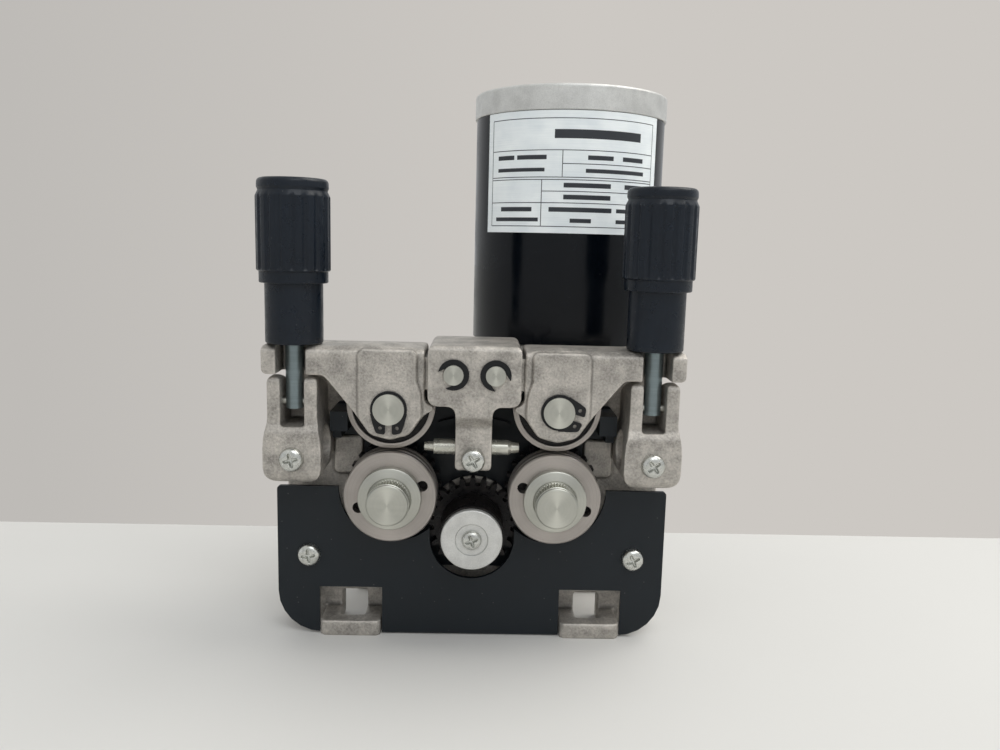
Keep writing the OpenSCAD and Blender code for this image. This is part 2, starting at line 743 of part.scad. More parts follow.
module centre_block() color([0.7, 0.68, 0.64]) in_frame() difference() {
    intersection() {
        slab_y(block_front, wall_y - block_front) block_outline();
        slab_x(-block_w, 2 * block_w) polygon(rounded([
            [block_front, block_bottom - block_skirt, 1.5],
            [tongue_front, block_bottom - 2 * block_skirt, 1], [tongue_front, tongue_bottom, 1.5],
            [tongue_back, tongue_bottom, 1.5], [tongue_back, block_bottom - block_skirt, 2],
            [wall_y, block_bottom, 0], [wall_y, block_top, 0],
            [block_front, block_top, 2.2]]));
    }
    translate([-block_w, block_front + block_skin, arm_pivot_z - knuckle_r - air])
        cube([2 * block_w, block_cave_back - block_front - block_skin,
            block_top - block_roof - arm_pivot_z + knuckle_r + air]);
    both_sides() rod_y(roll_x, press_z, pocket_front, pocket_r, pocket_back - pocket_front);
    both_sides() rod_y(pivot_x, arm_pivot_z, block_front - reach, pivot_pin_d / 2,
        wall_y - block_front - 2);
    rod_x(-block_w, wire_y, wire_z, guide_d / 2, 2 * block_w);
    rod_y(0, tongue_screw_z, tongue_front - reach, screw_shank_d / 2, wire_y - tongue_front);
}

module wire_guide() color([0.85, 0.82, 0.7]) in_frame() difference() {
    translate([-guide_l / 2 - 0.8, wire_y, wire_z]) rotate([0, 90, 0]) rotate_extrude() polygon([
        [0, 0], [1.8, 0], [2, 3.6], [guide_d / 2, 3.8], [guide_d / 2, guide_l - 4.4],
        [2.4, guide_l - 3], [2, guide_l], [0, guide_l]]);
    rod_x(-guide_l, wire_y, wire_z, wire_bore / 2, 2 * guide_l);
}

module pivot_pins() color([0.72, 0.72, 0.68]) in_frame()
    both_sides() rod_y(pivot_x, arm_pivot_z, block_front - 2 * clip_t, pivot_pin_d / 2,
        wall_y - block_front - 1.2);

// A retaining clip: a flat ring with an opening towards angle
module open_ring(x, z, y, outer_r, inner_r, t, angle, opening) translate([x, 0, z])
    slab_y(y, t) difference() {
        circle(r = outer_r);
        circle(r = inner_r);
        rotate(angle - 90) translate([-opening / 2, 0]) square([opening, outer_r + reach]);
    }

module pivot_clips() color([0.1, 0.1, 0.1]) in_frame() {
    clip_r = pivot_pin_d / 2 + 2.1;
    open_ring(-pivot_x, arm_pivot_z, block_front - clip_t, clip_r, pivot_pin_d / 2, clip_t, 205, 7);
    open_ring(pivot_x, arm_pivot_z, block_front - clip_t, clip_r, pivot_pin_d / 2, clip_t, -55, 7);
}

module lever_pins() color([0.55, 0.55, 0.55]) in_frame()
    both_sides() rod_x(lever_x - prong_w / 2 + 1, lever_y, pivot_z, lever_pin_d / 2, prong_w - 1.2);

module shaft_bearings() color([0.7, 0.7, 0.72]) in_frame() {
    bore = shaft_d / 2 + run_clear;
    ring_y(0, hub_z, wall_back - shaft_bearing_w, shaft_bearing_r, bore, shaft_bearing_w);
    ring_y(0, hub_z, drum_back, shaft_bearing_r, bore, shaft_bearing_w);
    motor_bore = motor_shaft_d / 2 + run_clear;
    ring_z(motor_top, motor_bearing_r, motor_bore, motor_bearing_w);
    ring_z(motor_z + floor_t, motor_bearing_r, motor_bore, motor_bearing_w);
    ring_z(worm_bearing_z, worm_bearing_r, motor_bore, worm_bearing_w);
}

module ring_z(z, r, bore_r, l) difference() {
    rod_z(worm_x, motor_y, z, r, l);
    rod_z(worm_x, motor_y, z - reach, bore_r, l + 2 * reach);
}

module roll_axles() color([0.6, 0.6, 0.62]) in_frame()
    both_sides() rod_y(roll_x, roll_z, axle_front, axle_d / 2, wall_back - axle_front);

// ---------------------------------------------------------------- motor

module motor_tube() color([0.03, 0.03, 0.04]) in_frame() difference() {
    rod_z(worm_x, motor_y, motor_z, motor_d / 2, motor_l);
    rod_z(worm_x, motor_y, motor_z + floor_t, motor_inner_r, motor_l);
    rod_z(worm_x, motor_y, motor_z - reach, motor_shaft_d, floor_t + 2 * reach);
}

module field_magnets() color([0.25, 0.25, 0.27]) in_frame()
    translate([worm_x, motor_y, core_bottom - magnet_over]) difference() {
        h = core_l + 2 * magnet_over;
        cylinder(r = motor_inner_r, h = h);
        translate([0, 0, -reach]) cylinder(r = motor_inner_r - magnet_t, h = h + 2 * reach);
        for (a = [0, 90]) rotate(a) translate([-motor_d, -magnet_split / 2, -reach])
            cube([2 * motor_d, magnet_split, h + 2 * reach]);
    }

module motor_end_cap() color([0.72, 0.72, 0.7]) in_frame() difference() {
    translate([worm_x, motor_y, motor_top]) rotate_extrude() polygon(rounded([
        [0, 0, 0], [cap_d / 2, 0, 0.4], [cap_d / 2, cap_h, 1.2], [0, cap_h, 0]]));
    rod_z(worm_x, motor_y, motor_top - reach, motor_bearing_r, motor_bearing_w + reach);
}

module rating_plate() color([0.8, 0.8, 0.8]) in_frame()
    translate([worm_x, motor_y, motor_top - plate_gap - plate_h])
        rotate(plate_turn - 90 - plate_angle / 2)
        rotate_extrude(angle = plate_angle) translate([motor_d / 2, 0]) square([plate_t, plate_h]);

// The two brush boxes, of the given length from the axis
module brush_boxes(l) for (a = [45, 225])
    translate([worm_x, motor_y, commutator_z + (commutator_l - brush_h) / 2]) rotate(a)
        translate([0, -brush_w / 2, 0]) cube([l, brush_w, brush_h]);

module brush_holder() color([0.2, 0.15, 0.1]) in_frame() difference() {
    rod_z(worm_x, motor_y, commutator_z, motor_inner_r, commutator_l);
    rod_z(worm_x, motor_y, commutator_z - reach, commutator_r + 3, commutator_l + 2 * reach);
    brush_boxes(motor_inner_r - brush_cap);
}

module carbon_brushes() color([0.15, 0.15, 0.15]) in_frame() difference() {
    brush_boxes(motor_inner_r - 2 * brush_cap);
    rod_z(worm_x, motor_y, commutator_z, commutator_r + 0.3, commutator_l);
}

module motor_shaft() color([0.65, 0.65, 0.66]) in_frame()
    rod_z(worm_x, motor_y, worm_bearing_z + 1, motor_shaft_d / 2,
        motor_top + motor_bearing_w - worm_bearing_z - 2);

module armature_ring(z, r, bore_r, l) difference() {
    rod_z(worm_x, motor_y, z, r, l);
    rod_z(worm_x, motor_y, z - reach, bore_r, l + 2 * reach);
}

module armature_core() color([0.4, 0.4, 0.42]) in_frame()
    difference() {
        armature_ring(core_bottom, core_r, motor_shaft_d / 2, core_l);
        for (i = [0:11]) translate([worm_x, motor_y, core_bottom - reach]) rotate(i * 30)
            translate([core_r - 2, -1.2, 0]) cube([4, 2.4, core_l + 2 * reach]);
    }

module armature_windings() color([0.7, 0.4, 0.2]) in_frame() {
    armature_ring(core_bottom - winding_l, core_r - 3, motor_shaft_d / 2, winding_l);
    armature_ring(core_bottom + core_l, core_r - 3, motor_shaft_d / 2, winding_l);
}

module commutator() color([0.75, 0.45, 0.25]) in_frame()
    armature_ring(commutator_z, commutator_r, motor_shaft_d / 2, commutator_l);

module worm() color([0.55, 0.55, 0.56]) in_frame() difference() {
    translate([worm_x, motor_y, worm_bottom])
        rotate(90 + 360 * (worm_bottom - hub_z) / worm_lead)
            linear_extrude(worm_l, twist = -360 * worm_l / worm_lead, slices = round(1.3 * worm_l),
                segments = len(worm_outline()))
                polygon(worm_outline());
    rod_z(worm_x, motor_y, worm_bottom - reach, motor_shaft_d / 2, worm_l + 2 * reach);
}

// ---------------------------------------------------------------- output shaft

module output_shaft() color([0.62, 0.62, 0.64]) in_frame() difference() {
    rod_y(0, hub_z, -hub_reach + hub_recess, shaft_d / 2,
        drum_back + shaft_bearing_w + hub_reach - hub_recess - air);
    rod_y(0, hub_z, -hub_reach, 2, 12);
    translate([-1.5, motor_y - wheel_hub / 2, hub_z + shaft_d / 2 - 1.5]) cube([3, wheel_hub, 5]);
}

module shaft_key() color([0.5, 0.5, 0.5]) in_frame()
    translate([-1.5, motor_y - wheel_hub / 2, hub_z + shaft_d / 2 - 1.5]) cube([3, wheel_hub, 3]);

module worm_wheel() color([0.72, 0.56, 0.25]) in_frame() difference() {
    union() {
        rod_y(0, hub_z, motor_y - wheel_rim / 2, wheel_root_r, wheel_rim);
        rod_y(0, hub_z, motor_y - wheel_hub / 2, shaft_d, wheel_hub);
        for (i = [0:wheel_teeth - 1]) rotate_about_hub(i * 360 / wheel_teeth)
            translate([wheel_pitch_r, motor_y, 0]) rotate([-worm_lead_angle, 0, 0])
                wheel_tooth();
    }
    rod_y(0, hub_z, motor_y - wheel_hub, shaft_d / 2, 2 * wheel_hub);
    translate([-1.5, motor_y - wheel_hub, hub_z]) cube([3, 2 * wheel_hub, shaft_d / 2 + 1.5]);
    for (a = [0:60:300]) rotate_about_hub(a) rod_y(21.5, 0, motor_y - wheel_hub, 5.5, 2 * wheel_hub);
}

module wheel_tooth() slab_y(-wheel_rim / 2 + 0.5, wheel_rim - 1) polygon([
    [-worm_dedendum - 0.5, -rack_half(-worm_dedendum)], [worm_addendum, -rack_half(worm_addendum)],
    [worm_addendum, rack_half(worm_addendum)], [-worm_dedendum - 0.5, rack_half(-worm_dedendum)]]);

module drive_gear() color([0.18, 0.15, 0.13]) in_frame() difference() {
    union() {
        translate([0, 0, hub_z]) slab_y(gear_y, gear_w) polygon(gear_outline(gear_teeth, 0));
        rod_y(0, hub_z, -hub_reach + hub_recess, hub_d / 2, gear_y + hub_reach - hub_recess + 0.1);
    }
    rod_y(0, hub_z, -hub_reach, shaft_d / 2, 40);
}

module hub_washer() color([0.72, 0.71, 0.69]) in_frame() difference() {
    turned_y(0, hub_z) polygon(rounded([
        [0, -hub_reach + 0.7, 0], [6.2, -hub_reach + 0.7, 0.2], [6.6, -hub_reach, 0.2],
        [hub_washer_d / 2, -hub_reach, 0.6], [hub_washer_d / 2, -hub_reach + hub_recess, 0],
        [0, -hub_reach + hub_recess, 0]]));
    rod_y(0, hub_z, -hub_reach - reach, 2, 6);
}

module hub_screw() color([0.78, 0.78, 0.76]) in_frame() difference() {
    union() {
        turned_y(0, hub_z) polygon(rounded([
            [0, -hub_reach - 1.9, 0], [4, -hub_reach - 1.9, 1.4], [4, -hub_reach + 0.7, 0],
            [0, -hub_reach + 0.7, 0]]));
        rod_y(0, hub_z, -hub_reach + 0.6, 2, 10);
    }
    for (a = [20, 110]) translate([0, -hub_reach - 3, hub_z]) rotate([0, a, 0])
        translate([-2.3, 0, -0.45]) cube([4.6, 2.4, 0.9]);
}

// ---------------------------------------------------------------- drive rolls

// Everything of the right-hand roll; the left-hand one is its mirror image
module roll_carrier() difference() {
    union() {
        rod_y(roll_x, roll_z, 0.5, carrier_hub_r, gear_y);
        rod_y(roll_x, roll_z, roll_w, carrier_flange_r, gear_y - roll_w + 0.1);
        translate([roll_x, 0, roll_z]) slab_y(gear_y, gear_w)
            polygon(gear_outline(gear_teeth, 2 * train_angle + tooth_step / 2));
        rod_y(roll_x, roll_z, gear_y, axle_d / 2 + 3, carrier_back - gear_y);
        for (a = [0, 180]) drive_pin_place(a)
            rod_y(drive_hole_r, 0, 4.5, drive_hole_d / 2 - run_clear, roll_w - 4.4);
    }
    rod_y(roll_x, roll_z, axle_front - 0.2, axle_d / 2 + run_clear, carrier_back);
    rod_y(roll_x, roll_z, 0, stud_r, axle_front);
}

module drive_pin_place(a) translate([roll_x, 0, roll_z])
    rotate([0, drive_hole_angle + a, 0]) children();

module drive_roll() difference() {
    groove = groove_depth;
    turned_y(roll_x, roll_z) polygon([
        [roll_bore / 2, 0], [roll_r - 0.5, 0], [roll_r, 0.5],
        [roll_r, roll_w - wire_y - groove], [roll_r - groove, roll_w - wire_y],
        [roll_r, roll_w - wire_y + groove],
        [roll_r, wire_y - groove], [roll_r - groove, wire_y], [roll_r, wire_y + groove],
        [roll_r, roll_w - 0.5], [roll_r - 0.5, roll_w], [roll_bore / 2, roll_w]]);
    for (a = [0, 180]) drive_pin_place(a)
        rod_y(drive_hole_r, 0, -reach, drive_hole_d / 2, roll_w + 2 * reach);
}

function knurl_outline(r, count, depth) = [for (i = [0:2 * count - 1])
    (r - (i % 2) * depth) * [cos(180 * i / count), sin(180 * i / count)]];

module thumb_screw() {
    barrel_r = thumb_barrel_d / 2;
    rim_back = -thumb_l + 1.5;
    turned_y(roll_x, roll_z) polygon(rounded([
        [0, -thumb_l, 0], [barrel_r - 0.2, -thumb_l, 0.5], [barrel_r - 0.2, rim_back, 0],
        [barrel_r - 1.2, rim_back, 0], [barrel_r - 1.2, -thumb_flange_t, 0],
        [thumb_flange_d / 2 - 2.2, -thumb_flange_t, 0],
        [thumb_flange_d / 2 - 1.8, -thumb_flange_t - 0.5, 0],
        [thumb_flange_d / 2, -thumb_flange_t - 0.5, 0.4], [thumb_flange_d / 2, 0, 0.4],
        [stud_r - run_clear, 0, 0], [stud_r - run_clear, axle_front - 0.6, 0], [0, axle_front - 0.6, 0]]));
    translate([roll_x, 0, roll_z]) slab_y(rim_back - 0.3, 0.3 - rim_back - thumb_flange_t)
        polygon(knurl_outline(barrel_r, thumb_knurls, 0.5));
}

module roll_carrier_left() color([0.22, 0.2, 0.19]) in_frame() to_side(-1) roll_carrier();

module roll_carrier_right() color([0.22, 0.2, 0.19]) in_frame() to_side(1) roll_carrier();

module drive_roll_left() color([0.55, 0.53, 0.5]) in_frame() to_side(-1) drive_roll();

module drive_roll_right() color([0.55, 0.53, 0.5]) in_frame() to_side(1) drive_roll();

module thumb_screw_left() color([0.72, 0.71, 0.66]) in_frame() to_side(-1) thumb_screw();

module thumb_screw_right() color([0.72, 0.71, 0.66]) in_frame() to_side(1) thumb_screw();

// ---------------------------------------------------------------- pressure arms

// The top edge is a low crown under the lever, so that it stays clear as the arm lifts
function crown_z(x) = arm_top - side_crown_r
    + sqrt(side_crown_r * side_crown_r - (x - lever_x) * (x - lever_x));

// A corner of the arm beside its roller, in shares of the roller's radius
function by_roller(u, v, fillet) = [roll_x + u * press_r, press_z + v * press_r, fillet];

module arm_outline() polygon(rounded(concat(
    [[arm_reach, crown_z(arm_reach), 1.2], [arm_reach, arm_under, 2],
        [arm_waist, arm_under, 4], by_roller(0.76, -0.13, 12), by_roller(0.42, -0.61, 6),
        by_roller(-0.02, -0.72, 7), by_roller(-0.45, -0.6, 5), by_roller(-0.78, -0.13, 8),
        [toe_x, toe_z, 1], [arm_inner, toe_z, 3.6], [arm_inner, arm_top - 1, 1.2],
        [roll_x - 1.65, arm_top + arm_hump, 12], [roll_x + 10.35, arm_top + arm_hump, 12],
        [crown_start, crown_z(crown_start), 0]],
    [for (i = [1:7]) let(x = crown_start + (arm_reach - crown_start) * i / 8) [x, crown_z(x), 0]])));

module arm_pad_outline() {
    neck = roll_x - 0.6 * press_r;
    cheek = roll_x + 0.68 * press_r;
    polygon(rounded([
        [cheek, pad_top, 2.5], [cheek, press_z - 0.2 * press_r, 5], by_roller(0.42, -0.59, 6),
        by_roller(-0.02, -0.7, 7), by_roller(-0.45, -0.58, 5), by_roller(-0.72, -0.16, 4),
        by_roller(-0.7, 0.34, 3), [neck, press_z + 0.62 * press_r, 3], [neck, pad_top, 2.5]]));
}

// The arm from its side: the brow in front, the seat of the lever, and the back
module arm_profile(rise) polygon(rounded([
    [arm_front, tongue_bottom, 0], [arm_back, tongue_bottom, 0], [arm_back, arm_top - 0.8, 2],
    [lever_y, arm_top + rise, 6], [arm_front + 3, arm_top - 0.5, 3],
    [arm_front, arm_top - arm_brow, 1.5]]));

module pressure_arm() difference() {
    union() {
        intersection() {
            slab_y(arm_front, arm_back - arm_front) arm_outline();
            union() {
                slab_x(arm_seam, arm_reach - arm_seam + reach) arm_profile(0);
                slab_x(toe_x - reach, arm_seam - toe_x + reach + 0.01) arm_profile(arm_hump);
            }
        }
        slab_y(pad_front, pad_proud + reach) arm_pad_outline();
        rod_y(pivot_x, arm_pivot_z, knuckle_front, knuckle_r, knuckle_l);
        translate([pivot_x, knuckle_front, arm_pivot_z - knuckle_r + 0.5])
            cube([arm_neck_w, knuckle_l, arm_neck_h]);
    }
    rod_y(roll_x, press_z, pocket_front, pocket_r, pocket_back - pocket_front);
    translate([roll_x - pocket_r, pocket_front, press_z - press_d])
        cube([2 * pocket_r, pocket_back - pocket_front, press_d]);
    rod_y(roll_x, press_z, pad_front - reach, press_axle_d / 2, arm_back - pad_front + 2 * reach);
    rod_y(pivot_x, arm_pivot_z, block_front, pivot_pin_d / 2 + run_clear, wall_y - block_front);
    translate([lever_x + arm_slot_shift - arm_slot_w / 2, arm_front - reach, arm_under - reach])
        cube([arm_slot_w, arm_slot_back - arm_front + reach, arm_top - arm_under + 5]);
}

module roller_axle() rod_y(roll_x, press_z, axle_end, press_axle_d / 2, arm_back - axle_end);

// An external circlip: it widens towards the two eyes beside its opening
module circlip(angle) translate([roll_x, 0, press_z]) slab_y(pad_front - clip_t, clip_t) difference() {
    r = press_axle_d / 2;
    union() {
        circle(r = r + clip_band);
        for (side = [0, 1]) rotate(angle) mirror([0, side]) polygon(rounded([
            [1, 1.3, 0], [r + 4, 1.3, 0.8], [r + 3.3, 4.8, 1.4], [r + 0.3, 5.9, 2],
            [r - 4, r + clip_band, 0], [1, r, 0]]));
    }
    circle(r = r);
    rotate(angle - 90) translate([-1.3, 0]) square([2.6, 2 * r]);
    for (side = [0, 1]) rotate(angle) mirror([0, side]) translate([r + 1.4, 3.2]) circle(r = 0.75, $fn = 24);
}

module pressure_roller() turned_y(roll_x, press_z) polygon([
    [press_bearing_r, press_y], [press_r - 1.4, press_y], [press_r, press_y + 0.6],
    [press_r, press_y + press_w - 0.6], [press_r - 0.6, press_y + press_w],
    [press_bearing_r, press_y + press_w]]);

module roller_bearing() ring_y(roll_x, press_z, press_y + 1.2, press_bearing_r,
    press_axle_d / 2 + run_clear, press_w - 2.4);

module pressure_arm_left() color([0.68, 0.66, 0.62]) in_frame() to_side(-1) pressure_arm();

module pressure_arm_right() color([0.68, 0.66, 0.62]) in_frame() to_side(1) pressure_arm();

module roller_axle_left() color([0.72, 0.74, 0.72]) in_frame() to_side(-1) roller_axle();

module roller_axle_right() color([0.72, 0.74, 0.72]) in_frame() to_side(1) roller_axle();

module axle_clip_left() color([0.1, 0.1, 0.1]) in_frame() to_side(-1) circlip(-90);

module axle_clip_right() color([0.1, 0.1, 0.1]) in_frame() to_side(1) circlip(-17);

module pressure_roller_left() color([0.6, 0.58, 0.55]) in_frame() to_side(-1) pressure_roller();

module pressure_roller_right() color([0.6, 0.58, 0.55]) in_frame() to_side(1) pressure_roller();

module roller_bearing_left() color([0.2, 0.2, 0.2]) in_frame() to_side(-1) roller_bearing();

module roller_bearing_right() color([0.2, 0.2, 0.2]) in_frame() to_side(1) roller_bearing();

// ---------------------------------------------------------------- tension levers

module lever_rod() difference() {
    rod_z(lever_x, lever_y, rod_bottom, rod_d / 2, rod_top - rod_bottom);
    rod_x(lever_x - rod_d, lever_y, pivot_z, lever_pin_d / 2 + run_clear, 2 * rod_d);
    for (side = [0, 1]) mirror_about_lever(side)
        translate([lever_x + rod_d / 2 - 0.45, lever_y - rod_d, rod_bottom - reach])
            cube([rod_d, 2 * rod_d, rod_flat_l + reach]);
}

module mirror_about_lever(side) translate([side * 2 * lever_x, 0, 0]) mirror([side, 0, 0]) children();

module tension_sleeve() difference() {
    rod_z(lever_x, lever_y, sleeve_base, sleeve_d / 2, sleeve_l);
    rod_z(lever_x, lever_y, sleeve_base + sleeve_floor, sleeve_d / 2 - sleeve_wall, sleeve_l);
    rod_z(lever_x, lever_y, sleeve_base - reach, rod_d / 2 + slide_clear, sleeve_l);
}

module thrust_washer() difference() {
    rod_z(lever_x, lever_y, knob_roof - washer_t, spring_d / 2 + spring_wire, washer_t);
    rod_z(lever_x, lever_y, knob_roof - washer_t - reach, rod_d / 2 + slide_clear, washer_t + 2 * reach);
}

// The spring is one tube that climbs from the sleeve's floor to the thrust washer
spring_bottom = sleeve_base + sleeve_floor;
spring_top = knob_roof - washer_t;
spring_rings = 8 * spring_curls;
spring_sides = 6;
spring_rise = (spring_top - spring_bottom - spring_wire) / spring_curls;
echo(least_gap_between_spring_curls = spring_rise - spring_wire);

function spring_point(i) = let(a = 360 * i / 8) [
    lever_x + spring_d / 2 * cos(a), lever_y + spring_d / 2 * sin(a),
    spring_bottom + spring_wire / 2 + spring_rise * i / 8];

function spring_ring(i) = let(a = 360 * i / 8, c = spring_point(i))
    [for (s = [0:spring_sides - 1]) let(b = 360 * s / spring_sides)
        c + spring_wire / 2 * [cos(b) * cos(a), cos(b) * sin(a), sin(b)]];

module tension_spring() polyhedron(
    points = [for (i = [0:spring_rings]) each spring_ring(i)],
    faces = concat(
        [[for (s = [0:spring_sides - 1]) s]],
        [for (i = [0:spring_rings - 1]) for (s = [0:spring_sides - 1]) each let(
                t = (s + 1) % spring_sides,
                a = i * spring_sides,
                b = a + spring_sides)
            [[a + s, b + s, b + t], [a + s, b + t, a + t]]],
        [[for (s = [spring_sides - 1:-1:0]) spring_rings * spring_sides + s]]));

module tension_knob() difference() {
    grip = knob_z + collar_l;
    translate([lever_x, lever_y, 0]) rotate_extrude() polygon(rounded([
        [0, knob_z, 0], [collar_d / 2, knob_z, 0.5], [collar_d / 2, grip, 0],
        [knob_d / 2, grip, 0.8], [knob_d / 2, knob_top - knob_neck, 0.4],
        [knob_d / 2 - 0.9, knob_top - knob_neck + 0.6, 0.3],
        [knob_d / 2 - 0.5, knob_top - 3.4, 0.3], [knob_d / 2 - 0.6, knob_top, 1.6], [0, knob_top, 0]]));
    for (i = [0:knob_flutes - 1]) translate([lever_x, lever_y, grip + 3]) rotate(i * 360 / knob_flutes)
        translate([knob_d / 2 + 1.1, 0, 0]) cylinder(r = 1.8, h = knob_l - 8.2);
    rod_z(lever_x, lever_y, knob_z - reach, knob_cave_r, knob_roof - knob_z + reach);
    rod_z(lever_x, lever_y, knob_z, rod_d / 2 + run_clear, rod_top - knob_z + 2.8);
}

module lever_rod_left() color([0.55, 0.58, 0.6]) in_frame() to_side(-1) lever_rod();

module lever_rod_right() color([0.45, 0.47, 0.5]) in_frame() to_side(1) lever_rod();

module tension_sleeve_left() color([0.12, 0.12, 0.13]) in_frame() to_side(-1) tension_sleeve();

module tension_sleeve_right() color([0.12, 0.12, 0.13]) in_frame() to_side(1) tension_sleeve();

module tension_spring_left() color([0.6, 0.6, 0.6]) in_frame() to_side(-1) tension_spring();

module tension_spring_right() color([0.6, 0.6, 0.6]) in_frame() to_side(1) tension_spring();

module thrust_washer_left() color([0.6, 0.6, 0.6]) in_frame() to_side(-1) thrust_washer();

module thrust_washer_right() color([0.6, 0.6, 0.6]) in_frame() to_side(1) thrust_washer();

module tension_knob_left() color([0.1, 0.1, 0.11]) in_frame() to_side(-1) tension_knob();

module tension_knob_right() color([0.1, 0.1, 0.11]) in_frame() to_side(1) tension_knob();

// ---------------------------------------------------------------- nodes

main_frame();
gearbox_housing();
gearbox_cover();
cover_screws();
front_guard();
gear_shroud();
bracket_left();
bracket_right();
pan_head_screws();
centre_block();
wire_guide();
pivot_pins();
pivot_clips();
lever_pins();
shaft_bearings();
roll_axles();
motor_tube();
field_magnets();
motor_end_cap();
rating_plate();
brush_holder();
carbon_brushes();
output_shaft();
worm_wheel();
shaft_key();
drive_gear();
hub_washer();
hub_screw();
motor_shaft();
armature_core();
armature_windings();
commutator();
worm();
roll_carrier_left();
drive_roll_left();
thumb_screw_left();
roll_carrier_right();
drive_roll_right();
thumb_screw_right();
pressure_arm_left();
roller_axle_left();
axle_clip_left();
pressure_roller_left();
roller_bearing_left();
pressure_arm_right();
roller_axle_right();
axle_clip_right();
pressure_roller_right();
roller_bearing_right();
lever_rod_left();
tension_sleeve_left();
tension_spring_left();
thrust_washer_left();
tension_knob_left();
lever_rod_right();
tension_sleeve_right();
tension_spring_right();
thrust_washer_right();
tension_knob_right();
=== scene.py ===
"""Looks of a welding wire feeder with two roll pairs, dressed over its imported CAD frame.

The castings get a soft cast skin, the tension knobs, thumb screws and screw heads get
their fine shapes, the rating plate gets its ruled lines, and each node gets a
procedural finish. Lengths in the classes are millimetres in the drawing's own frame:
X along the wire, Y away from the operator from the faces of the drive rolls, Z up.
"""

import functools
import logging
import math
from dataclasses import dataclass, field
from enum import Enum
from typing import Sequence

import bmesh
import bpy
import numpy as np
from bpy.types import ID, Material, Mesh, Node, NodeTree, Object
from bpy.types import NodeSocket as Socket
from mathutils import Matrix, Vector


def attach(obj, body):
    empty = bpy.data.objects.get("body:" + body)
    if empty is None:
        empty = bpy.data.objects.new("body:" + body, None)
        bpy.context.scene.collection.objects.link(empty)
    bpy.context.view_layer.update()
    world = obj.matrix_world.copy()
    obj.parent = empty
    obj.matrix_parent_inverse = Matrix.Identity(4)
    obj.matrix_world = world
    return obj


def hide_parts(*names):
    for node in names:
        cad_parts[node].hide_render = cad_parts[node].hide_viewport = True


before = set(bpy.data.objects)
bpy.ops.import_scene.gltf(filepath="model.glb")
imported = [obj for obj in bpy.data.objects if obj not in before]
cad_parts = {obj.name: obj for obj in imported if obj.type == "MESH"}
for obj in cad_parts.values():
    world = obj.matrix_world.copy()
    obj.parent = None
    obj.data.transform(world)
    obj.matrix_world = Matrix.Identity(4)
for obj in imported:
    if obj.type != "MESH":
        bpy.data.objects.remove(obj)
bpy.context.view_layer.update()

LOG = logging.getLogger("wire_feeder")
MM = 0.001
DRAWING_ORIGIN = np.array([0.0, 52.6, 0.0])
ROLL_AXIS = (32.65, 63.336)
ROLLER_AXIS = (32.65, 100.136)
PIVOT_AXIS = (8.0, 114.35)
LEVER_AXIS = (70.0, 2.0)

Colour = tuple[int, int, int]
Linear = tuple[float, float, float, float]
Place = tuple[float, float, float]
Shape = tuple[np.ndarray, list[list[int]]]


class Side(Enum):
    """The two mirrored halves of the feeder."""

    LEFT = -1
    RIGHT = 1

    @property
    def word(self) -> str:
        """The side's name as bodies and nodes carry it."""
        return self.name.lower()


class Facing(Enum):
    """Which way a turned piece's own axis points."""

    OPERATOR = "operator"
    UP = "up"


# ---- shapes

def to_frame(points: np.ndarray) -> np.ndarray:
    """Moves drawing points into the CAD frame.

    Args:
        points: rows of x, y, z in millimetres of the drawing.

    Returns:
        The rows less the drawing's origin, times a thousandth, in metres.
    """
    return (points - DRAWING_ORIGIN) * MM


def turned_to(shape: Shape, centre: Place, facing: Facing) -> Shape:
    """Lays a piece that was worked out about its own upright axis into the drawing.

    Facing the operator, the piece's x, y, z become X, Z and minus Y, a quarter turn.

    Args:
        shape: the piece about its own axis.
        centre: where its origin lies in the drawing.
        facing: which way its axis points.

    Returns:
        The shape in millimetres of the drawing.
    """
    points, faces = shape
    if facing is Facing.OPERATOR:
        points = np.column_stack([points[:, 0], -points[:, 2], points[:, 1]])
    return points + np.array(centre), faces


def ramp(value: np.ndarray, start: float, length: float) -> np.ndarray:
    """Rises from 0 to 1 as value goes from start over that length."""
    return np.clip((value - start) / length, 0, 1)


def full_turn(steps: int) -> np.ndarray:
    """Even angles round one turn, without the repeated end."""
    return np.linspace(0, 2 * np.pi, steps, endpoint=False)


def rounded_profile(corners: Sequence[Place], steps: int) -> np.ndarray:
    """Rounds the corners of an open profile.

    Each corner b between a and c becomes an arc of its radius that touches both legs:
    the centre lies on the bisector, radius over the sine of half the angle away.

    Args:
        corners: rows of radius, height and fillet; the ends stay sharp.
        steps: segments of each arc.

    Returns:
        Rows of radius and height along the profile.
    """
    table = np.array(corners, float)
    rows = [table[0, :2]]
    for a, (*_, fillet), b, c in zip(table[:-2, :2], table[1:-1], table[1:-1, :2], table[2:, :2]):
        if fillet <= 0:
            rows.append(b)
            continue
        u, v = (a - b) / np.linalg.norm(a - b), (c - b) / np.linalg.norm(c - b)
        half = math.acos(float(np.clip(u @ v, -1, 1))) / 2
        centre = b + (u + v) / np.linalg.norm(u + v) * fillet / math.sin(half)
        p = b + u * fillet / math.tan(half) - centre
        q = b + v * fillet / math.tan(half) - centre
        start = math.atan2(p[1], p[0])
        turn = (math.atan2(q[1], q[0]) - start + 3 * math.pi) % (2 * math.pi) - math.pi
        arc = start + turn * np.linspace(0, 1, steps + 1)
        rows.extend(centre + fillet * np.column_stack([np.cos(arc), np.sin(arc)]))
    return np.array([*rows, table[-1, :2]])


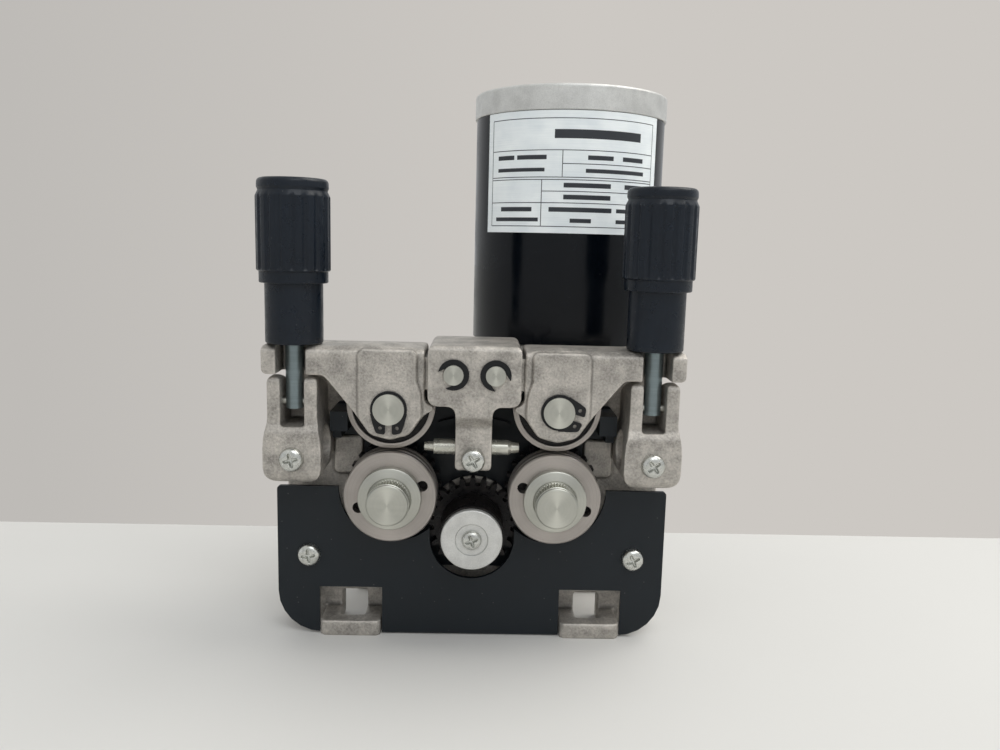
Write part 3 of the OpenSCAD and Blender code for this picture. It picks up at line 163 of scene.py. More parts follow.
def subdivided(profile: np.ndarray, longest: float) -> np.ndarray:
    """Splits the steps of a profile evenly where they are longer than allowed.

    Args:
        profile: rows of radius and height.
        longest: the longest step allowed.

    Returns:
        The profile with its added rows.
    """
    parts = []
    for a, b in zip(profile[:-1], profile[1:]):
        count = max(1, math.ceil(float(np.linalg.norm(b - a)) / longest))
        parts.append(a + (b - a) * np.linspace(0, 1, count, endpoint=False)[:, None])
    return np.vstack([*parts, profile[-1:]])


def ring_quads(low: np.ndarray, high: np.ndarray, steps: int) -> list[list[int]]:
    """Lists the faces between the low and the high ring of each band, by point numbers."""
    here = np.arange(steps)
    nxt = (here + 1) % steps
    low, high = low[:, None] * steps, high[:, None] * steps
    quads = np.stack([low + here, low + nxt, high + nxt, high + here], axis=-1)
    return quads.reshape(-1, 4).tolist()


def revolved(profile: np.ndarray, steps: int, ripple: np.ndarray | float = 0.0,
             lift: np.ndarray | float = 0.0) -> Shape:
    """Turns a profile that starts and ends on the axis into a closed surface.

    A point is (r cos t, r sin t, h) where r is the profile's radius plus the ripple and
    h is its height plus the lift. Each end closes in a pole at its ring's mean lift.

    Args:
        profile: rows of radius and height; the first and last radius are zero.
        steps: points round each ring.
        ripple: radius added at each ring (rows) and angle (columns).
        lift: height added at each ring and angle.

    Returns:
        The points, and the faces as lists of point numbers.
    """
    angle = full_turn(steps)
    inner = profile[1:-1]
    count = len(inner)
    radius = np.repeat(inner[:, :1], steps, axis=1) + ripple
    height = np.repeat(inner[:, 1:], steps, axis=1) + lift
    rings = np.stack([radius * np.cos(angle), radius * np.sin(angle), height], axis=-1)
    poles = np.zeros((2, 3))
    poles[:, 2] = profile[[0, -1], 1] + (height - inner[:, 1:])[[0, -1]].mean(1)
    points = np.vstack([rings.reshape(-1, 3), poles])
    here = np.arange(steps)
    nxt = (here + 1) % steps
    end = (count - 1) * steps
    bottom = np.stack([np.full(steps, count * steps), nxt, here], axis=-1)
    top = np.stack([np.full(steps, count * steps + 1), end + here, end + nxt], axis=-1)
    quads = ring_quads(np.arange(count - 1), np.arange(1, count), steps)
    return points, [*quads, *bottom.tolist(), *top.tolist()]


def ring_surface(profile: np.ndarray, steps: int) -> Shape:
    """Turns a closed profile that stays off the axis into a ring-shaped surface.

    A point is (r cos t, r sin t, h), and both directions wrap round.

    Args:
        profile: rows of radius and height, anticlockwise, with no repeated end.
        steps: points round each ring.

    Returns:
        The points, and the faces as lists of point numbers.
    """
    angle = full_turn(steps)
    radius, height = profile[:, :1], np.repeat(profile[:, 1:], steps, axis=1)
    points = np.stack([radius * np.cos(angle), radius * np.sin(angle), height], axis=-1)
    rows = np.arange(len(profile))
    return points.reshape(-1, 3), ring_quads(rows, np.roll(rows, -1), steps)


def mirrored(place: Place) -> Place:
    """The same place on the left side."""
    return -place[0], place[1], place[2]


def joined(shapes: Sequence[Shape]) -> Shape:
    """Puts several shapes into one, with their face numbers shifted along."""
    faces: list[list[int]] = []
    start = 0
    for points, part in shapes:
        faces.extend([[number + start for number in face] for face in part])
        start += len(points)
    return np.vstack([points for points, _ in shapes]), faces


def new_object(name: str, data: ID) -> Object:
    """Makes an object of a mesh, lamp or camera and links it into the scene."""
    made = bpy.data.objects.new(name, data)
    bpy.context.scene.collection.objects.link(made)
    return made


def add_piece(name: str, shape: Shape, body: str, slot: str, finish: str = "",
              smooth: bool = True) -> Object:
    """Makes a piece of the object from a shape in drawing millimetres.

    Args:
        name: the piece's name.
        shape: its points and faces.
        body: the CAD body that it rides on.
        slot: the record's slot that it belongs to.
        finish: its finish, if that isn't the slot's own.
        smooth: whether its faces shade smoothly.

    Returns:
        The new object, at the origin.
    """
    mesh = bpy.data.meshes.new(name)
    mesh.from_pydata(to_frame(shape[0]).tolist(), [], shape[1])
    mesh.polygons.foreach_set("use_smooth", np.full(len(mesh.polygons), smooth))
    mesh.materials.append(finish_of(finish or slot))
    mesh.validate()
    mesh.update()
    piece = new_object(name, mesh)
    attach(piece, body)
    LOG.info("%s: %d points on body %s", name, len(shape[0]), body)
    return piece


# ---- node graphs

def linear(colour: Colour, gain: float = 1.0) -> Linear:
    """Turns an 8-bit display colour into the linear one that a shader takes.

    Args:
        colour: red, green and blue from 0 to 255.
        gain: the linear colour is multiplied by this.

    Returns:
        Red, green, blue and an alpha of one.
    """
    part = [c / 255 for c in colour]
    straight = [c / 12.92 if c <= 0.04045 else ((c + 0.055) / 1.055) ** 2.4 for c in part]
    return (*(min(1.0, s * gain) for s in straight), 1.0)


@dataclass(frozen=True)
class Graph:
    """Adds nodes to one node tree and joins them."""

    tree: NodeTree

    def node(self, kind: str, inputs: dict | None = None, **settings: object) -> Node:
        """Adds a node.

        Args:
            kind: its type name.
            inputs: values or sockets for its inputs, by name or number.
            settings: its attributes, set before its inputs.

        Returns:
            The new node.
        """
        made = self.tree.nodes.new(kind)
        for key, value in settings.items():
            setattr(made, key, value)
        for key, value in (inputs or {}).items():
            self.feed(made.inputs[key], value)
        return made

    def feed(self, socket: Socket, value: object) -> None:
        """Links a socket into an input, or sets the input to a plain value."""
        if isinstance(value, Socket):
            self.tree.links.new(value, socket)
        else:
            socket.default_value = value

    def paint(self, name: str, value: object) -> None:
        """Feeds an input of the tree's Principled shader."""
        shader = next(n for n in self.tree.nodes if n.type == "BSDF_PRINCIPLED")
        self.feed(shader.inputs[name], value)

    def math(self, operation: str, a: object, b: object = 0.0) -> Socket:
        """Adds a Math node and returns its result."""
        return self.node("ShaderNodeMath", {0: a, 1: b}, operation=operation).outputs[0]

    def times(self, a: object, b: object) -> Socket:
        """Multiplies a by b."""
        return self.math("MULTIPLY", a, b)

    def weighed(self, a: object, p: object, b: object, q: object) -> Socket:
        """Adds a times p to b times q."""
        return self.math("ADD", self.times(a, p), self.times(b, q))

    def span(self, value: object, low: float, high: float, to_low: float = 0.0,
             to_high: float = 1.0) -> Socket:
        """Maps value from low..high onto to_low..to_high, clamped, and returns the result."""
        return self.node("ShaderNodeMapRange", {
            "Value": value, "From Min": low, "From Max": high,
            "To Min": to_low, "To Max": to_high}).outputs[0]

    def noise(self, place: object, cells: object, detail: float, roughness: float) -> Socket:
        """Adds noise with that many cells a metre and returns its value."""
        return self.node("ShaderNodeTexNoise", {
            "Vector": place, "Scale": cells, "Detail": detail, "Roughness": roughness}).outputs[0]

    def blend(self, factor: object, a: object, b: object) -> Socket:
        """Mixes colour a into colour b by the factor and returns the result."""
        return self.node("ShaderNodeMix", {0: factor, 6: a, 7: b}, data_type="RGBA").outputs[2]

    def place(self) -> Socket:
        """The surface's place in its object."""
        return self.node("ShaderNodeTexCoord").outputs["Object"]

    def group(self, tree: NodeTree, inputs: dict) -> Node:
        """Places a shared effect with its own values."""
        return self.node("ShaderNodeGroup", inputs, node_tree=tree)

    def give(self, **values: Socket) -> NodeTree:
        """Ends a shared effect with its outputs, all plain values, and returns its tree."""
        for label in values:
            self.tree.interface.new_socket(
                name=label, in_out="OUTPUT", socket_type="NodeSocketFloat")
        self.node("NodeGroupOutput", values)
        return self.tree

    def bump(self, height: object, distance: float, strength: float) -> Socket:
        """Turns a height, over that many metres, into a normal."""
        return self.node("ShaderNodeBump", {
            "Height": height, "Distance": distance, "Strength": strength}).outputs[0]


def new_material(name: str) -> tuple[Material, Graph]:
    """Makes a material with nodes, and the graph of its tree."""
    made = bpy.data.materials.new(name)
    made.use_nodes = True
    return made, Graph(made.node_tree)


def effect(name: str, **inputs: str) -> tuple[Graph, list[Socket]]:
    """Starts a shared effect as a node group.

    Args:
        name: the group's name.
        inputs: kind ("Float" or "Vector") of each input, by its name.

    Returns:
        The graph, and the group's inputs without the blank one that ends them.
    """
    graph = Graph(bpy.data.node_groups.new(name, "ShaderNodeTree"))
    for label, kind in inputs.items():
        graph.tree.interface.new_socket(
            name=label, in_out="INPUT", socket_type=f"NodeSocket{kind}")
    return graph, list(graph.node("NodeGroupInput").outputs)[:-1]


@functools.cache
def sand_grain() -> NodeTree:
    """Effect of a sand-cast skin: broad mottle, fine grain and small pits.

    Returns:
        A group from Place and Cells (grains a metre) to Mottle, Grain and Pits.
    """
    mottle_cells, pits_a_grain = 130, 0.42
    graph, (place, cells) = effect("Sand grain", Place="Vector", Cells="Float")
    broad = graph.noise(place, mottle_cells, 3.0, 0.6)
    fine = graph.noise(place, cells, 3.0, 0.65)
    pits = graph.node("ShaderNodeTexVoronoi", {
        "Vector": place, "Scale": graph.times(cells, pits_a_grain)}).outputs["Distance"]
    return graph.give(Mottle=graph.span(broad, 0.35, 0.65), Grain=graph.span(fine, 0.3, 0.7),
                      Pits=graph.span(pits, 0.16, 0.04))


@functools.cache
def turning_lines() -> NodeTree:
    """Effect of lathe work: fine lines that stay level along a ring.

    Returns:
        A group from Radius and Length (metres from and along the axis) and Cells to Lines.
    """
    graph, (radius, length, cells) = effect(
        "Turning lines", Radius="Float", Length="Float", Cells="Float")
    place = graph.node("ShaderNodeCombineXYZ", {0: radius, 1: length}).outputs[0]
    fine = graph.noise(place, cells, 4.0, 0.7)
    broad = graph.noise(place, graph.times(cells, 0.22), 1.0, 0.5)
    return graph.give(Lines=graph.span(graph.weighed(fine, 0.65, broad, 0.35), 0.32, 0.68))


@functools.cache
def handling_marks() -> NodeTree:
    """Effect of use: cloudy smudges, stray dust specks and thin scratches.

    Returns:
        A group from Place to Smudge, Specks and Scratches.
    """
    smudge_cells, speck_cells, bare_share = 55, 420.0, 0.8
    scratch_turn, scratch_cells = (0.3, 0.8, 0.4), (30.0, 1400.0, 260.0)
    graph, (place,) = effect("Handling marks", Place="Vector")
    cloud = graph.noise(place, smudge_cells, 4.0, 0.6)
    speck = graph.node("ShaderNodeTexVoronoi", {"Vector": place, "Scale": speck_cells})
    chance = graph.node("ShaderNodeTexWhiteNoise", {"Vector": speck.outputs["Position"]})
    rare = graph.math("GREATER_THAN", chance.outputs["Value"], bare_share)
    stretched = graph.node("ShaderNodeMapping", {
        "Vector": place, "Rotation": scratch_turn, "Scale": scratch_cells}).outputs[0]
    dots = graph.span(speck.outputs["Distance"], 0.12, 0.05)
    return graph.give(
        Smudge=graph.span(cloud, 0.42, 0.68), Specks=graph.times(rare, dots),
        Scratches=graph.span(graph.noise(stretched, 1.0, 1.0, 0.4), 0.70, 0.76))


# ---- finishes

@dataclass(frozen=True)
class Finish:
    """A procedural finish: what its family adds is in its dress method."""

    colour: Colour
    roughness: float
    metallic: float = 0.0
    specular: float = field(default=0.5, kw_only=True)

    def material(self, name: str) -> Material:
        """Builds a material of that name and returns it with its shader dressed."""
        made, graph = new_material(name)
        graph.paint("Base Color", self.tone())
        graph.paint("Metallic", self.metallic)
        graph.paint("Roughness", self.roughness)
        graph.paint("Specular IOR Level", self.specular)
        self.dress(graph, graph.place())
        return made

    def dress(self, graph: Graph, place: Socket) -> None:
        """Adds the family's detail to the shader, laid out by the surface's place."""

    def tone(self, gain: float = 1.0) -> Linear:
        """The finish's colour, linear, times a gain."""
        return linear(self.colour, gain)

    def layer(self, graph: Graph, skin: object, mask: object, share: float,
              gain: float) -> Socket:
        """Lays the finish's tone at a gain over the skin, as far as mask times share."""
        return graph.blend(graph.times(mask, share), skin, self.tone(gain))

    def marks(self, graph: Graph, place: Socket) -> tuple[Socket, ...]:
        """Adds the marks of handling and returns smudge, specks and scratches."""
        return tuple(graph.group(handling_marks(), {"Place": place}).outputs)

    def uneven(self, graph: Graph, value: Socket, spread: float) -> None:
        """Lets the roughness swing by spread either way as value goes from 0 to 1."""
        graph.paint("Roughness", graph.span(
            value, 0.0, 1.0, max(0.04, self.roughness - spread), self.roughness + spread))


@dataclass(frozen=True)
class CastFinish(Finish):
    """Cast alloy, shot-blasted: sparkling grain, cloudy tone, painted highlights on edges, painted
    shade in creases.
    """

    cells: float = 1150.0
    depth: float = 0.00015
    contrast: float = 0.55

    def dress(self, graph: Graph, place: Socket) -> None:
        """Grain and pits mark the skin, creases get painted shade, and edges get a painted
        highlight.
        """
        mottle, grain, pits = graph.group(
            sand_grain(), {"Place": place, "Cells": self.cells}).outputs
        smudge = self.marks(graph, place)[0]
        edge = graph.node("ShaderNodeAttribute", attribute_name="rub").outputs["Fac"]
        skin = graph.blend(graph.weighed(mottle, 0.45, grain, 0.55),
                           self.tone(1 - self.contrast), self.tone(1 + self.contrast * 0.7))
        skin = self.layer(graph, skin, pits, 0.35, 0.45)
        skin = self.layer(graph, skin, smudge, 0.22, 0.68)
        # painted shade: creases darken towards a fifth of the tone
        skin = graph.blend(graph.span(edge, -0.1, -0.9, 0.0, 0.75), skin, self.tone(0.2))
        # painted highlight: outer edges lighten, patchily with the mottle
        bright = graph.times(graph.span(edge, 0.0, 1.0), graph.span(mottle, 0.0, 1.0, 0.2, 0.55))
        graph.paint("Base Color", graph.blend(bright, skin, self.tone(1.45)))
        self.uneven(graph, grain, 0.09)
        height = graph.math("SUBTRACT", grain, graph.times(pits, 0.7))
        graph.paint("Normal", graph.bump(height, self.depth, 0.8))


@dataclass(frozen=True)
class TurnedFinish(Finish):
    """Lathe-turned metal about the nearest of some axes, which lie alike on both sides."""

    facing: Facing = Facing.OPERATOR
    centres: tuple[tuple[float, float], ...] = ()
    # strength of the painted highlight in an upright wedge through each axis
    highlight_wedge: float = 0.0
    cells: float = 2600.0
    contrast: float = 0.16
    depth: float = 0.00003

    def about(self, graph: Graph, across: Socket, up: Socket) -> tuple[Socket, Socket]:
        """Finds the distance from the nearest axis, and the share of it that points up.

        Args:
            graph: the material's graph.
            across: distance from the middle plane.
            up: place along the other direction square to the axes.
        """
        base = 0.0 if self.facing is Facing.OPERATOR else float(DRAWING_ORIGIN[1])
        radius, rise = None, None
        for first, second in self.centres:
            u = graph.math("SUBTRACT", across, first * MM)
            v = graph.math("SUBTRACT", up, (second - base) * MM)
            reach = graph.math("SQRT", graph.weighed(u, u, v, v))
            share = graph.math(
                "DIVIDE", graph.math("ABSOLUTE", v), graph.math("MAXIMUM", reach, 0.0001))
            if radius is None:
                radius, rise = reach, share
                continue
            nearer = graph.math("LESS_THAN", reach, radius)
            rise = graph.weighed(nearer, share, graph.math("SUBTRACT", 1.0, nearer), rise)
            radius = graph.math("MINIMUM", radius, reach)
        return radius, rise

    def dress(self, graph: Graph, place: Socket) -> None:
        """Lines follow only the radius and the length, and a painted highlight stands in an
        upright wedge.
        """
        x, y, z = graph.node("ShaderNodeSeparateXYZ", {0: place}).outputs
        up, along = (z, y) if self.facing is Facing.OPERATOR else (y, z)
        radius, rise = self.about(graph, graph.math("ABSOLUTE", x), up)
        lines = graph.group(turning_lines(), {
            "Radius": radius, "Length": along, "Cells": self.cells}).outputs["Lines"]
        smudge, _, scratches = self.marks(graph, place)
        skin = graph.blend(lines, self.tone(1 - self.contrast), self.tone(1 + self.contrast))
        # painted highlight: lighter in a wedge straight above and below the nearest axis
        skin = self.layer(graph, skin, graph.math("POWER", rise, 8.0), self.highlight_wedge, 1.7)
        skin = self.layer(graph, skin, smudge, 0.3, 0.72)
        skin = self.layer(graph, skin, scratches, 0.1, 1.35)
        graph.paint("Base Color", skin)
        self.uneven(graph, graph.weighed(lines, 0.6, smudge, 0.4), 0.08)
        graph.paint("Normal", graph.bump(lines, self.depth, 0.6))


@dataclass(frozen=True)
class PlatedFinish(Finish):
    """Plated or plain small metal parts: cloudy shine, fine scratches."""

    cells: float = 700.0
    dirt: float = 0.3

    def dress(self, graph: Graph, place: Socket) -> None:
        """Clouds and smudges dull the shine, scratches brighten it."""
        cloud = graph.span(graph.noise(place, self.cells, 3.0, 0.6), 0.32, 0.68)
        smudge, _, scratches = self.marks(graph, place)
        skin = graph.blend(cloud, self.tone(0.84), self.tone(1.12))
        skin = self.layer(graph, skin, smudge, self.dirt, 0.5)
        skin = self.layer(graph, skin, scratches, 0.4, 1.4)
        graph.paint("Base Color", skin)
        self.uneven(graph, graph.weighed(cloud, 0.5, smudge, 0.5), 0.09)
        graph.paint("Normal", graph.bump(cloud, 0.00002, 0.5))


@dataclass(frozen=True)
class CoatedFinish(Finish):
    """Paint or powder coat: a faint peel, dust specks, and a clear top on gloss."""

    gloss_coat: float = 0.0
    peel: float = 0.00002
    peel_cells: float = 900.0
    dust: float = 0.25
    dust_colour: Colour = (150, 148, 144)

    def dress(self, graph: Graph, place: Socket) -> None:
        """The peel bends the reflection a little, dust and smudges dull it."""
        peel = graph.noise(place, self.peel_cells, 2.0, 0.5)
        smudge, specks, _ = self.marks(graph, place)
        dust = graph.times(specks, self.dust)
        skin = self.layer(graph, self.tone(), smudge, 0.35, 1.45)
        graph.paint("Base Color", graph.blend(dust, skin, linear(self.dust_colour)))
        self.uneven(graph, graph.math("ADD", smudge, dust), 0.06)
        graph.paint("Coat Weight", self.gloss_coat)
        graph.paint("Coat Roughness", 0.06)
        graph.paint("Normal", graph.bump(peel, self.peel, 0.6))


@dataclass(frozen=True)
class MouldedFinish(Finish):
    """Moulded plastic: fine leathery pebble that breaks up its highlights."""

    pebbles: float = 1100.0
    swells: float = 260.0
    depth: float = 0.00005
    dust_colour: Colour = (140, 146, 148)

    def dress(self, graph: Graph, place: Socket) -> None:
        """Pebbles lift the skin, and a grey film lies on it in clouds."""
        pebble = graph.node("ShaderNodeTexVoronoi", {"Vector": place, "Scale": self.pebbles})
        swell = graph.noise(place, self.swells, 3.0, 0.55)
        smudge, specks, _ = self.marks(graph, place)
        skin = self.layer(graph, self.tone(), smudge, 0.5, 1.6)
        skin = graph.blend(graph.times(specks, 0.22), skin, linear(self.dust_colour))
        graph.paint("Base Color", skin)
        self.uneven(graph, graph.span(swell, 0.35, 0.65), 0.09)
        height = graph.weighed(pebble.outputs["Distance"], 0.6, swell, 0.8)
        graph.paint("Normal", graph.bump(height, self.depth, 0.7))


@dataclass(frozen=True)
class OiledFinish(Finish):
    """Dark oiled steel of the gears: film of oil with rubbed bright spots."""

    rubbed: Colour = (58, 52, 50)

    def dress(self, graph: Graph, place: Socket) -> None:
        """Oil lies in clouds, and the metal shows where it has been rubbed."""
        cloud = graph.span(graph.noise(place, 320, 4.0, 0.65), 0.35, 0.65)
        fine = graph.span(graph.noise(place, 1800, 2.0, 0.6), 0.3, 0.7)
        rubbed = graph.times(graph.math("POWER", cloud, 2.2), 0.5)
        skin = graph.blend(fine, self.tone(0.75), self.tone(1.25))
        graph.paint("Base Color", graph.blend(rubbed, skin, linear(self.rubbed)))
        self.uneven(graph, cloud, 0.12)
        graph.paint("Normal", graph.bump(fine, 0.00003, 0.5))


@dataclass(frozen=True)
class FoilFinish(Finish):
    """Brushed foil of the rating plate: level hairlines and soft clouds."""

    hair_cells: Place = (60.0, 60.0, 6000.0)

    def dress(self, graph: Graph, place: Socket) -> None:
        """Hairlines follow only the height, broken slowly round the plate."""
        stretched = graph.node(
            "ShaderNodeMapping", {"Vector": place, "Scale": self.hair_cells}).outputs[0]
        hair = graph.span(graph.noise(stretched, 1.0, 3.0, 0.6), 0.3, 0.7)
        cloud = graph.span(graph.noise(place, 90, 3.0, 0.5), 0.35, 0.65)
        graph.paint("Base Color", graph.blend(
            graph.weighed(hair, 0.5, cloud, 0.5), self.tone(0.86), self.tone(1.1)))
        self.uneven(graph, hair, 0.05)
        graph.paint("Normal", graph.bump(hair, 0.00001, 0.4))


FRONT = {"facing": Facing.OPERATOR, "centres": (ROLL_AXIS, ROLLER_AXIS, PIVOT_AXIS)}
UPRIGHT = {"facing": Facing.UP, "centres": (LEVER_AXIS,)}

FINISHES: dict[str, Finish] = {
    "cast_alloy": CastFinish((184, 179, 172), 0.50, 0.70),
    "housing_alloy": CastFinish((168, 165, 160), 0.52, 0.70, cells=1000.0),
    "turned_alloy": CastFinish(
        (211, 211, 208), 0.40, 0.6, cells=2200.0, depth=0.00004, contrast=0.24),
    "black_plate": CoatedFinish((21, 27, 32), 0.46, specular=0.3),
    "motor_black": CoatedFinish(
        (5, 9, 15), 0.22, specular=0.22, gloss_coat=0.06, peel=0.00001, dust=0.1),
    "black_plastic": MouldedFinish((10, 19, 29), 0.34, specular=0.32),
    "zinc_steel": PlatedFinish((206, 207, 202), 0.28, 1.0),
    "zinc_rod": TurnedFinish((128, 140, 143), 0.34, 0.9, **UPRIGHT, cells=1500.0),
    "nickel_steel": TurnedFinish((178, 178, 170), 0.34, 0.9, **FRONT, highlight_wedge=0.5, contrast=0.09),
    "roll_steel": TurnedFinish((164, 158, 153), 0.36, 0.85, **FRONT, highlight_wedge=0.25, contrast=0.2),
    "bearing_steel": PlatedFinish((172, 172, 174), 0.24, 1.0),
    "dark_steel": OiledFinish((18, 17, 18), 0.36, 0.25, specular=0.25),
    "black_steel": PlatedFinish((26, 27, 29), 0.42, 0.5, dirt=0.1),
    "pale_brass": PlatedFinish((212, 211, 200), 0.28, 0.65, cells=240.0, dirt=0.1),
    "bronze": PlatedFinish((182, 140, 66), 0.32, 1.0),
    # pale silver foil, partly painted reflection: its near-white tone on a non-metal carries the
    # bright reflection of the light
    "plate_foil": FoilFinish((240, 248, 252), 0.34, 0.0),
    "ferrite": MouldedFinish((52, 52, 56), 0.5),
    "core_iron": PlatedFinish((112, 112, 116), 0.42, 0.9),
    "copper": PlatedFinish((186, 104, 58), 0.3, 1.0),
    "resin_board": MouldedFinish((70, 46, 30), 0.45),
    "carbon": MouldedFinish((34, 34, 35), 0.6),
    "plate_ink": CoatedFinish((40, 44, 50), 0.5, dust=0.05),
}


@functools.cache
def finish_of(slot: str) -> Material:
    """Builds the finish of a slot once, and returns its material."""
    return FINISHES[slot].material(f"{slot}_finish")


def dress_nodes() -> None:
    """Gives each CAD node the finish of the slot that the record names for it."""
    for name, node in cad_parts.items():
        for holder in node.material_slots:
            slot = holder.material.name.split(".")[0]
            holder.link = "OBJECT"
            holder.material = finish_of(slot)
        LOG.info("%s: dressed", name)


# ---- castings

@dataclass(frozen=True)
class CastSkin:
    """A casting's soft skin: its CAD solid, remeshed finely and relaxed at its edges.

    Points of the solid's loose triangles that are closer than weld are merged first.
    """

    node: str
    body: str
    slot: str
    voxel: float
    relax: int
    weld: float = 0.000002
    sharp: float = 9.0

    def merged_copy(self) -> Object:
        """A copy of the CAD node whose loose triangles are merged into one surface."""
        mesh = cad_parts[self.node].data.copy()
        work = bmesh.new()
        work.from_mesh(mesh)
        bmesh.ops.remove_doubles(work, verts=work.verts, dist=self.weld)
        work.to_mesh(mesh)
        work.free()
        return new_object(f"{self.node}_skin", mesh)

    def rub_of(self, mesh: Mesh) -> np.ndarray:
        """How far each point stands out from its neighbours.

        The mean of the neighbours less the point, against the normal, over the voxel
        size, is positive on an outer edge and negative in a crease. The factor sharp
        scales it so that a sharp edge gives one.

        Args:
            mesh: the relaxed skin.

        Returns:
            One value from -1 to 1 a point.
        """
        count = len(mesh.vertices)
        points, normals = np.empty((2, count, 3))
        mesh.vertices.foreach_get("co", points.ravel())
        mesh.vertices.foreach_get("normal", normals.ravel())
        ends = np.empty(len(mesh.edges) * 2, int)
        mesh.edges.foreach_get("vertices", ends)
        a, b = ends.reshape(-1, 2).T
        total = np.zeros((count, 3))
        np.add.at(total, a, points[b])
        np.add.at(total, b, points[a])
        near = np.bincount(ends, minlength=count)[:, None]
        pull = total / np.maximum(near, 1) - points
        return np.clip(-(pull * normals).sum(1) / (self.voxel * MM) * self.sharp, -1, 1)

    def build(self) -> Object:
        """Makes the skin.

        Returns:
            The skin, which replaces its CAD node.
        """
        piece = self.merged_copy()
        remesh = piece.modifiers.new("skin", "REMESH")
        remesh.mode = "VOXEL"
        remesh.voxel_size = self.voxel * MM * 1.0
        smooth = piece.modifiers.new("relax", "SMOOTH")
        smooth.factor, smooth.iterations = 0.5, self.relax
        graph = bpy.context.evaluated_depsgraph_get()
        mesh = bpy.data.meshes.new_from_object(piece.evaluated_get(graph))
        piece.modifiers.clear()
        piece.data = mesh
        mesh.polygons.foreach_set("use_smooth", np.ones(len(mesh.polygons), bool))
        # this value per point drives the cast finish's painted highlights on edges and painted
        # shade in creases
        rub = mesh.attributes.new("rub", "FLOAT", "POINT")
        rub.data.foreach_set("value", self.rub_of(mesh).astype(np.float32))
        mesh.materials.clear()
        mesh.materials.append(finish_of(self.slot))
        mesh.update()
        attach(piece, self.body)
        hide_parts(self.node)
        LOG.info("%s: skin of %d faces", self.node, len(mesh.polygons))
        return piece


CASTINGS = (
    CastSkin("main_frame", "frame", "cast_alloy", 0.7, 3),
    CastSkin("gearbox_housing", "frame", "housing_alloy", 1.0, 3),
    CastSkin("gearbox_cover", "frame", "housing_alloy", 0.8, 3),
    CastSkin("bracket_left", "frame", "cast_alloy", 0.4, 9),
    CastSkin("bracket_right", "frame", "cast_alloy", 0.4, 9),
    CastSkin("centre_block", "frame", "cast_alloy", 0.4, 5),
    CastSkin("pressure_arm_left", "arm_left", "cast_alloy", 0.42, 4),
    CastSkin("pressure_arm_right", "arm_right", "cast_alloy", 0.42, 4),
)


# ---- screws and knobs

@dataclass(frozen=True)
class CrossHead:
    """A screw head with a cross recess, on a short shank."""

    radius: float = 4.8
    height: float = 3.0
    shank_radius: float = 2.45
    shank: float = 4.0
    recess: float = 1.7
    wing: float = 2.7
    slot: float = 0.62
    turn: float = 30.0

    def shape(self) -> Shape:
        """Works out the head about its own axis.

        The dome is the head's height times a power of one less the fourth power of the
        relative radius: flat on top, round at the rim. The recess sinks it within the
        slot's half width of either arm of the cross, as far out as the wings.

        Returns:
            The head's points and faces.
        """
        share = np.linspace(1.0, 0.0, 46)
        dome = self.height * (1 - share**4) ** 0.42
        head = np.column_stack([self.radius * share, np.maximum(dome, 0.02)])
        start = np.array([
            [0, -self.shank], [self.shank_radius, -self.shank], [self.shank_radius, 0.0],
            [self.radius, 0.0]])
        profile = np.vstack([start, head])
        steps = 144
        angle = full_turn(steps) - math.radians(self.turn)
        radius = profile[1:-1, :1]
        u, v = radius * np.cos(angle), radius * np.sin(angle)
        near = np.minimum(np.abs(u), np.abs(v))
        far = np.maximum(np.abs(u), np.abs(v))
        taper = self.slot * (1 - 0.35 * far / self.wing)
        inside = 1 / (1 + np.exp((near - taper) / 0.07)) / (1 + np.exp((far - self.wing) / 0.09))
        upper = (np.arange(len(radius)) >= len(start))[:, None]
        lift = -self.recess * inside * (1 - 0.25 * far / self.wing) * upper
        return revolved(profile, steps, lift=lift)


@dataclass(frozen=True)
class ScrewSet:
    """The cross-recess screws on the front; each frame screw has a turn of its own."""

    guard: Place = (67.25, 12.13, 34.5)
    clamp: Place = (70.0, -6.2, 79.6)
    tongue: Place = (0.0, -6.0, 80.5)
    hub: Place = (0.0, -5.4, 48.1)
    turns: tuple[float, ...] = (24.0, 8.0, 38.0, 14.0, 30.0)

    def build(self) -> None:
        """Makes the five pan heads of the frame and the screw of the output shaft."""
        places = [self.guard, mirrored(self.guard), self.clamp, mirrored(self.clamp), self.tongue]
        heads = [turned_to(CrossHead(turn=turn).shape(), place, Facing.OPERATOR)
                 for place, turn in zip(places, self.turns)]
        piece = add_piece("screw_heads", joined(heads), "frame", "zinc_steel")
        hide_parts("pan_head_screws")
        small = CrossHead(radius=4.0, height=2.6, shank_radius=1.95, shank=9.0,
                          recess=1.6, wing=2.4, slot=0.55, turn=20.0)
        screw = add_piece("hub_screw_head", turned_to(small.shape(), self.hub, Facing.OPERATOR),
                          "output", "zinc_steel")
        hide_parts("hub_screw")


@dataclass(frozen=True)
class SidePiece:
    """A turned piece that both sides have, worked out about its own axis."""

    side: Side
    node: str = ""
    ending: str = ""
    body: str = ""
    slot: str = "black_plastic"
    facing: Facing = Facing.UP
    centre: Place = (*LEVER_AXIS, 0.0)

    def shape(self) -> Shape:
        """Works out the piece's points and faces."""
        raise NotImplementedError

    def build(self) -> Object:
        """Makes the piece.

        Returns:
            The piece, which replaces its CAD node.
        """
        name = f"{self.node}_{self.side.word}"
        centre = self.centre if self.side is Side.RIGHT else mirrored(self.centre)
        piece = add_piece(
            f"{name}_{self.ending}", turned_to(self.shape(), centre, self.facing),
            f"{self.body}_{self.side.word}", self.slot)
        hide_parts(name)
        return piece


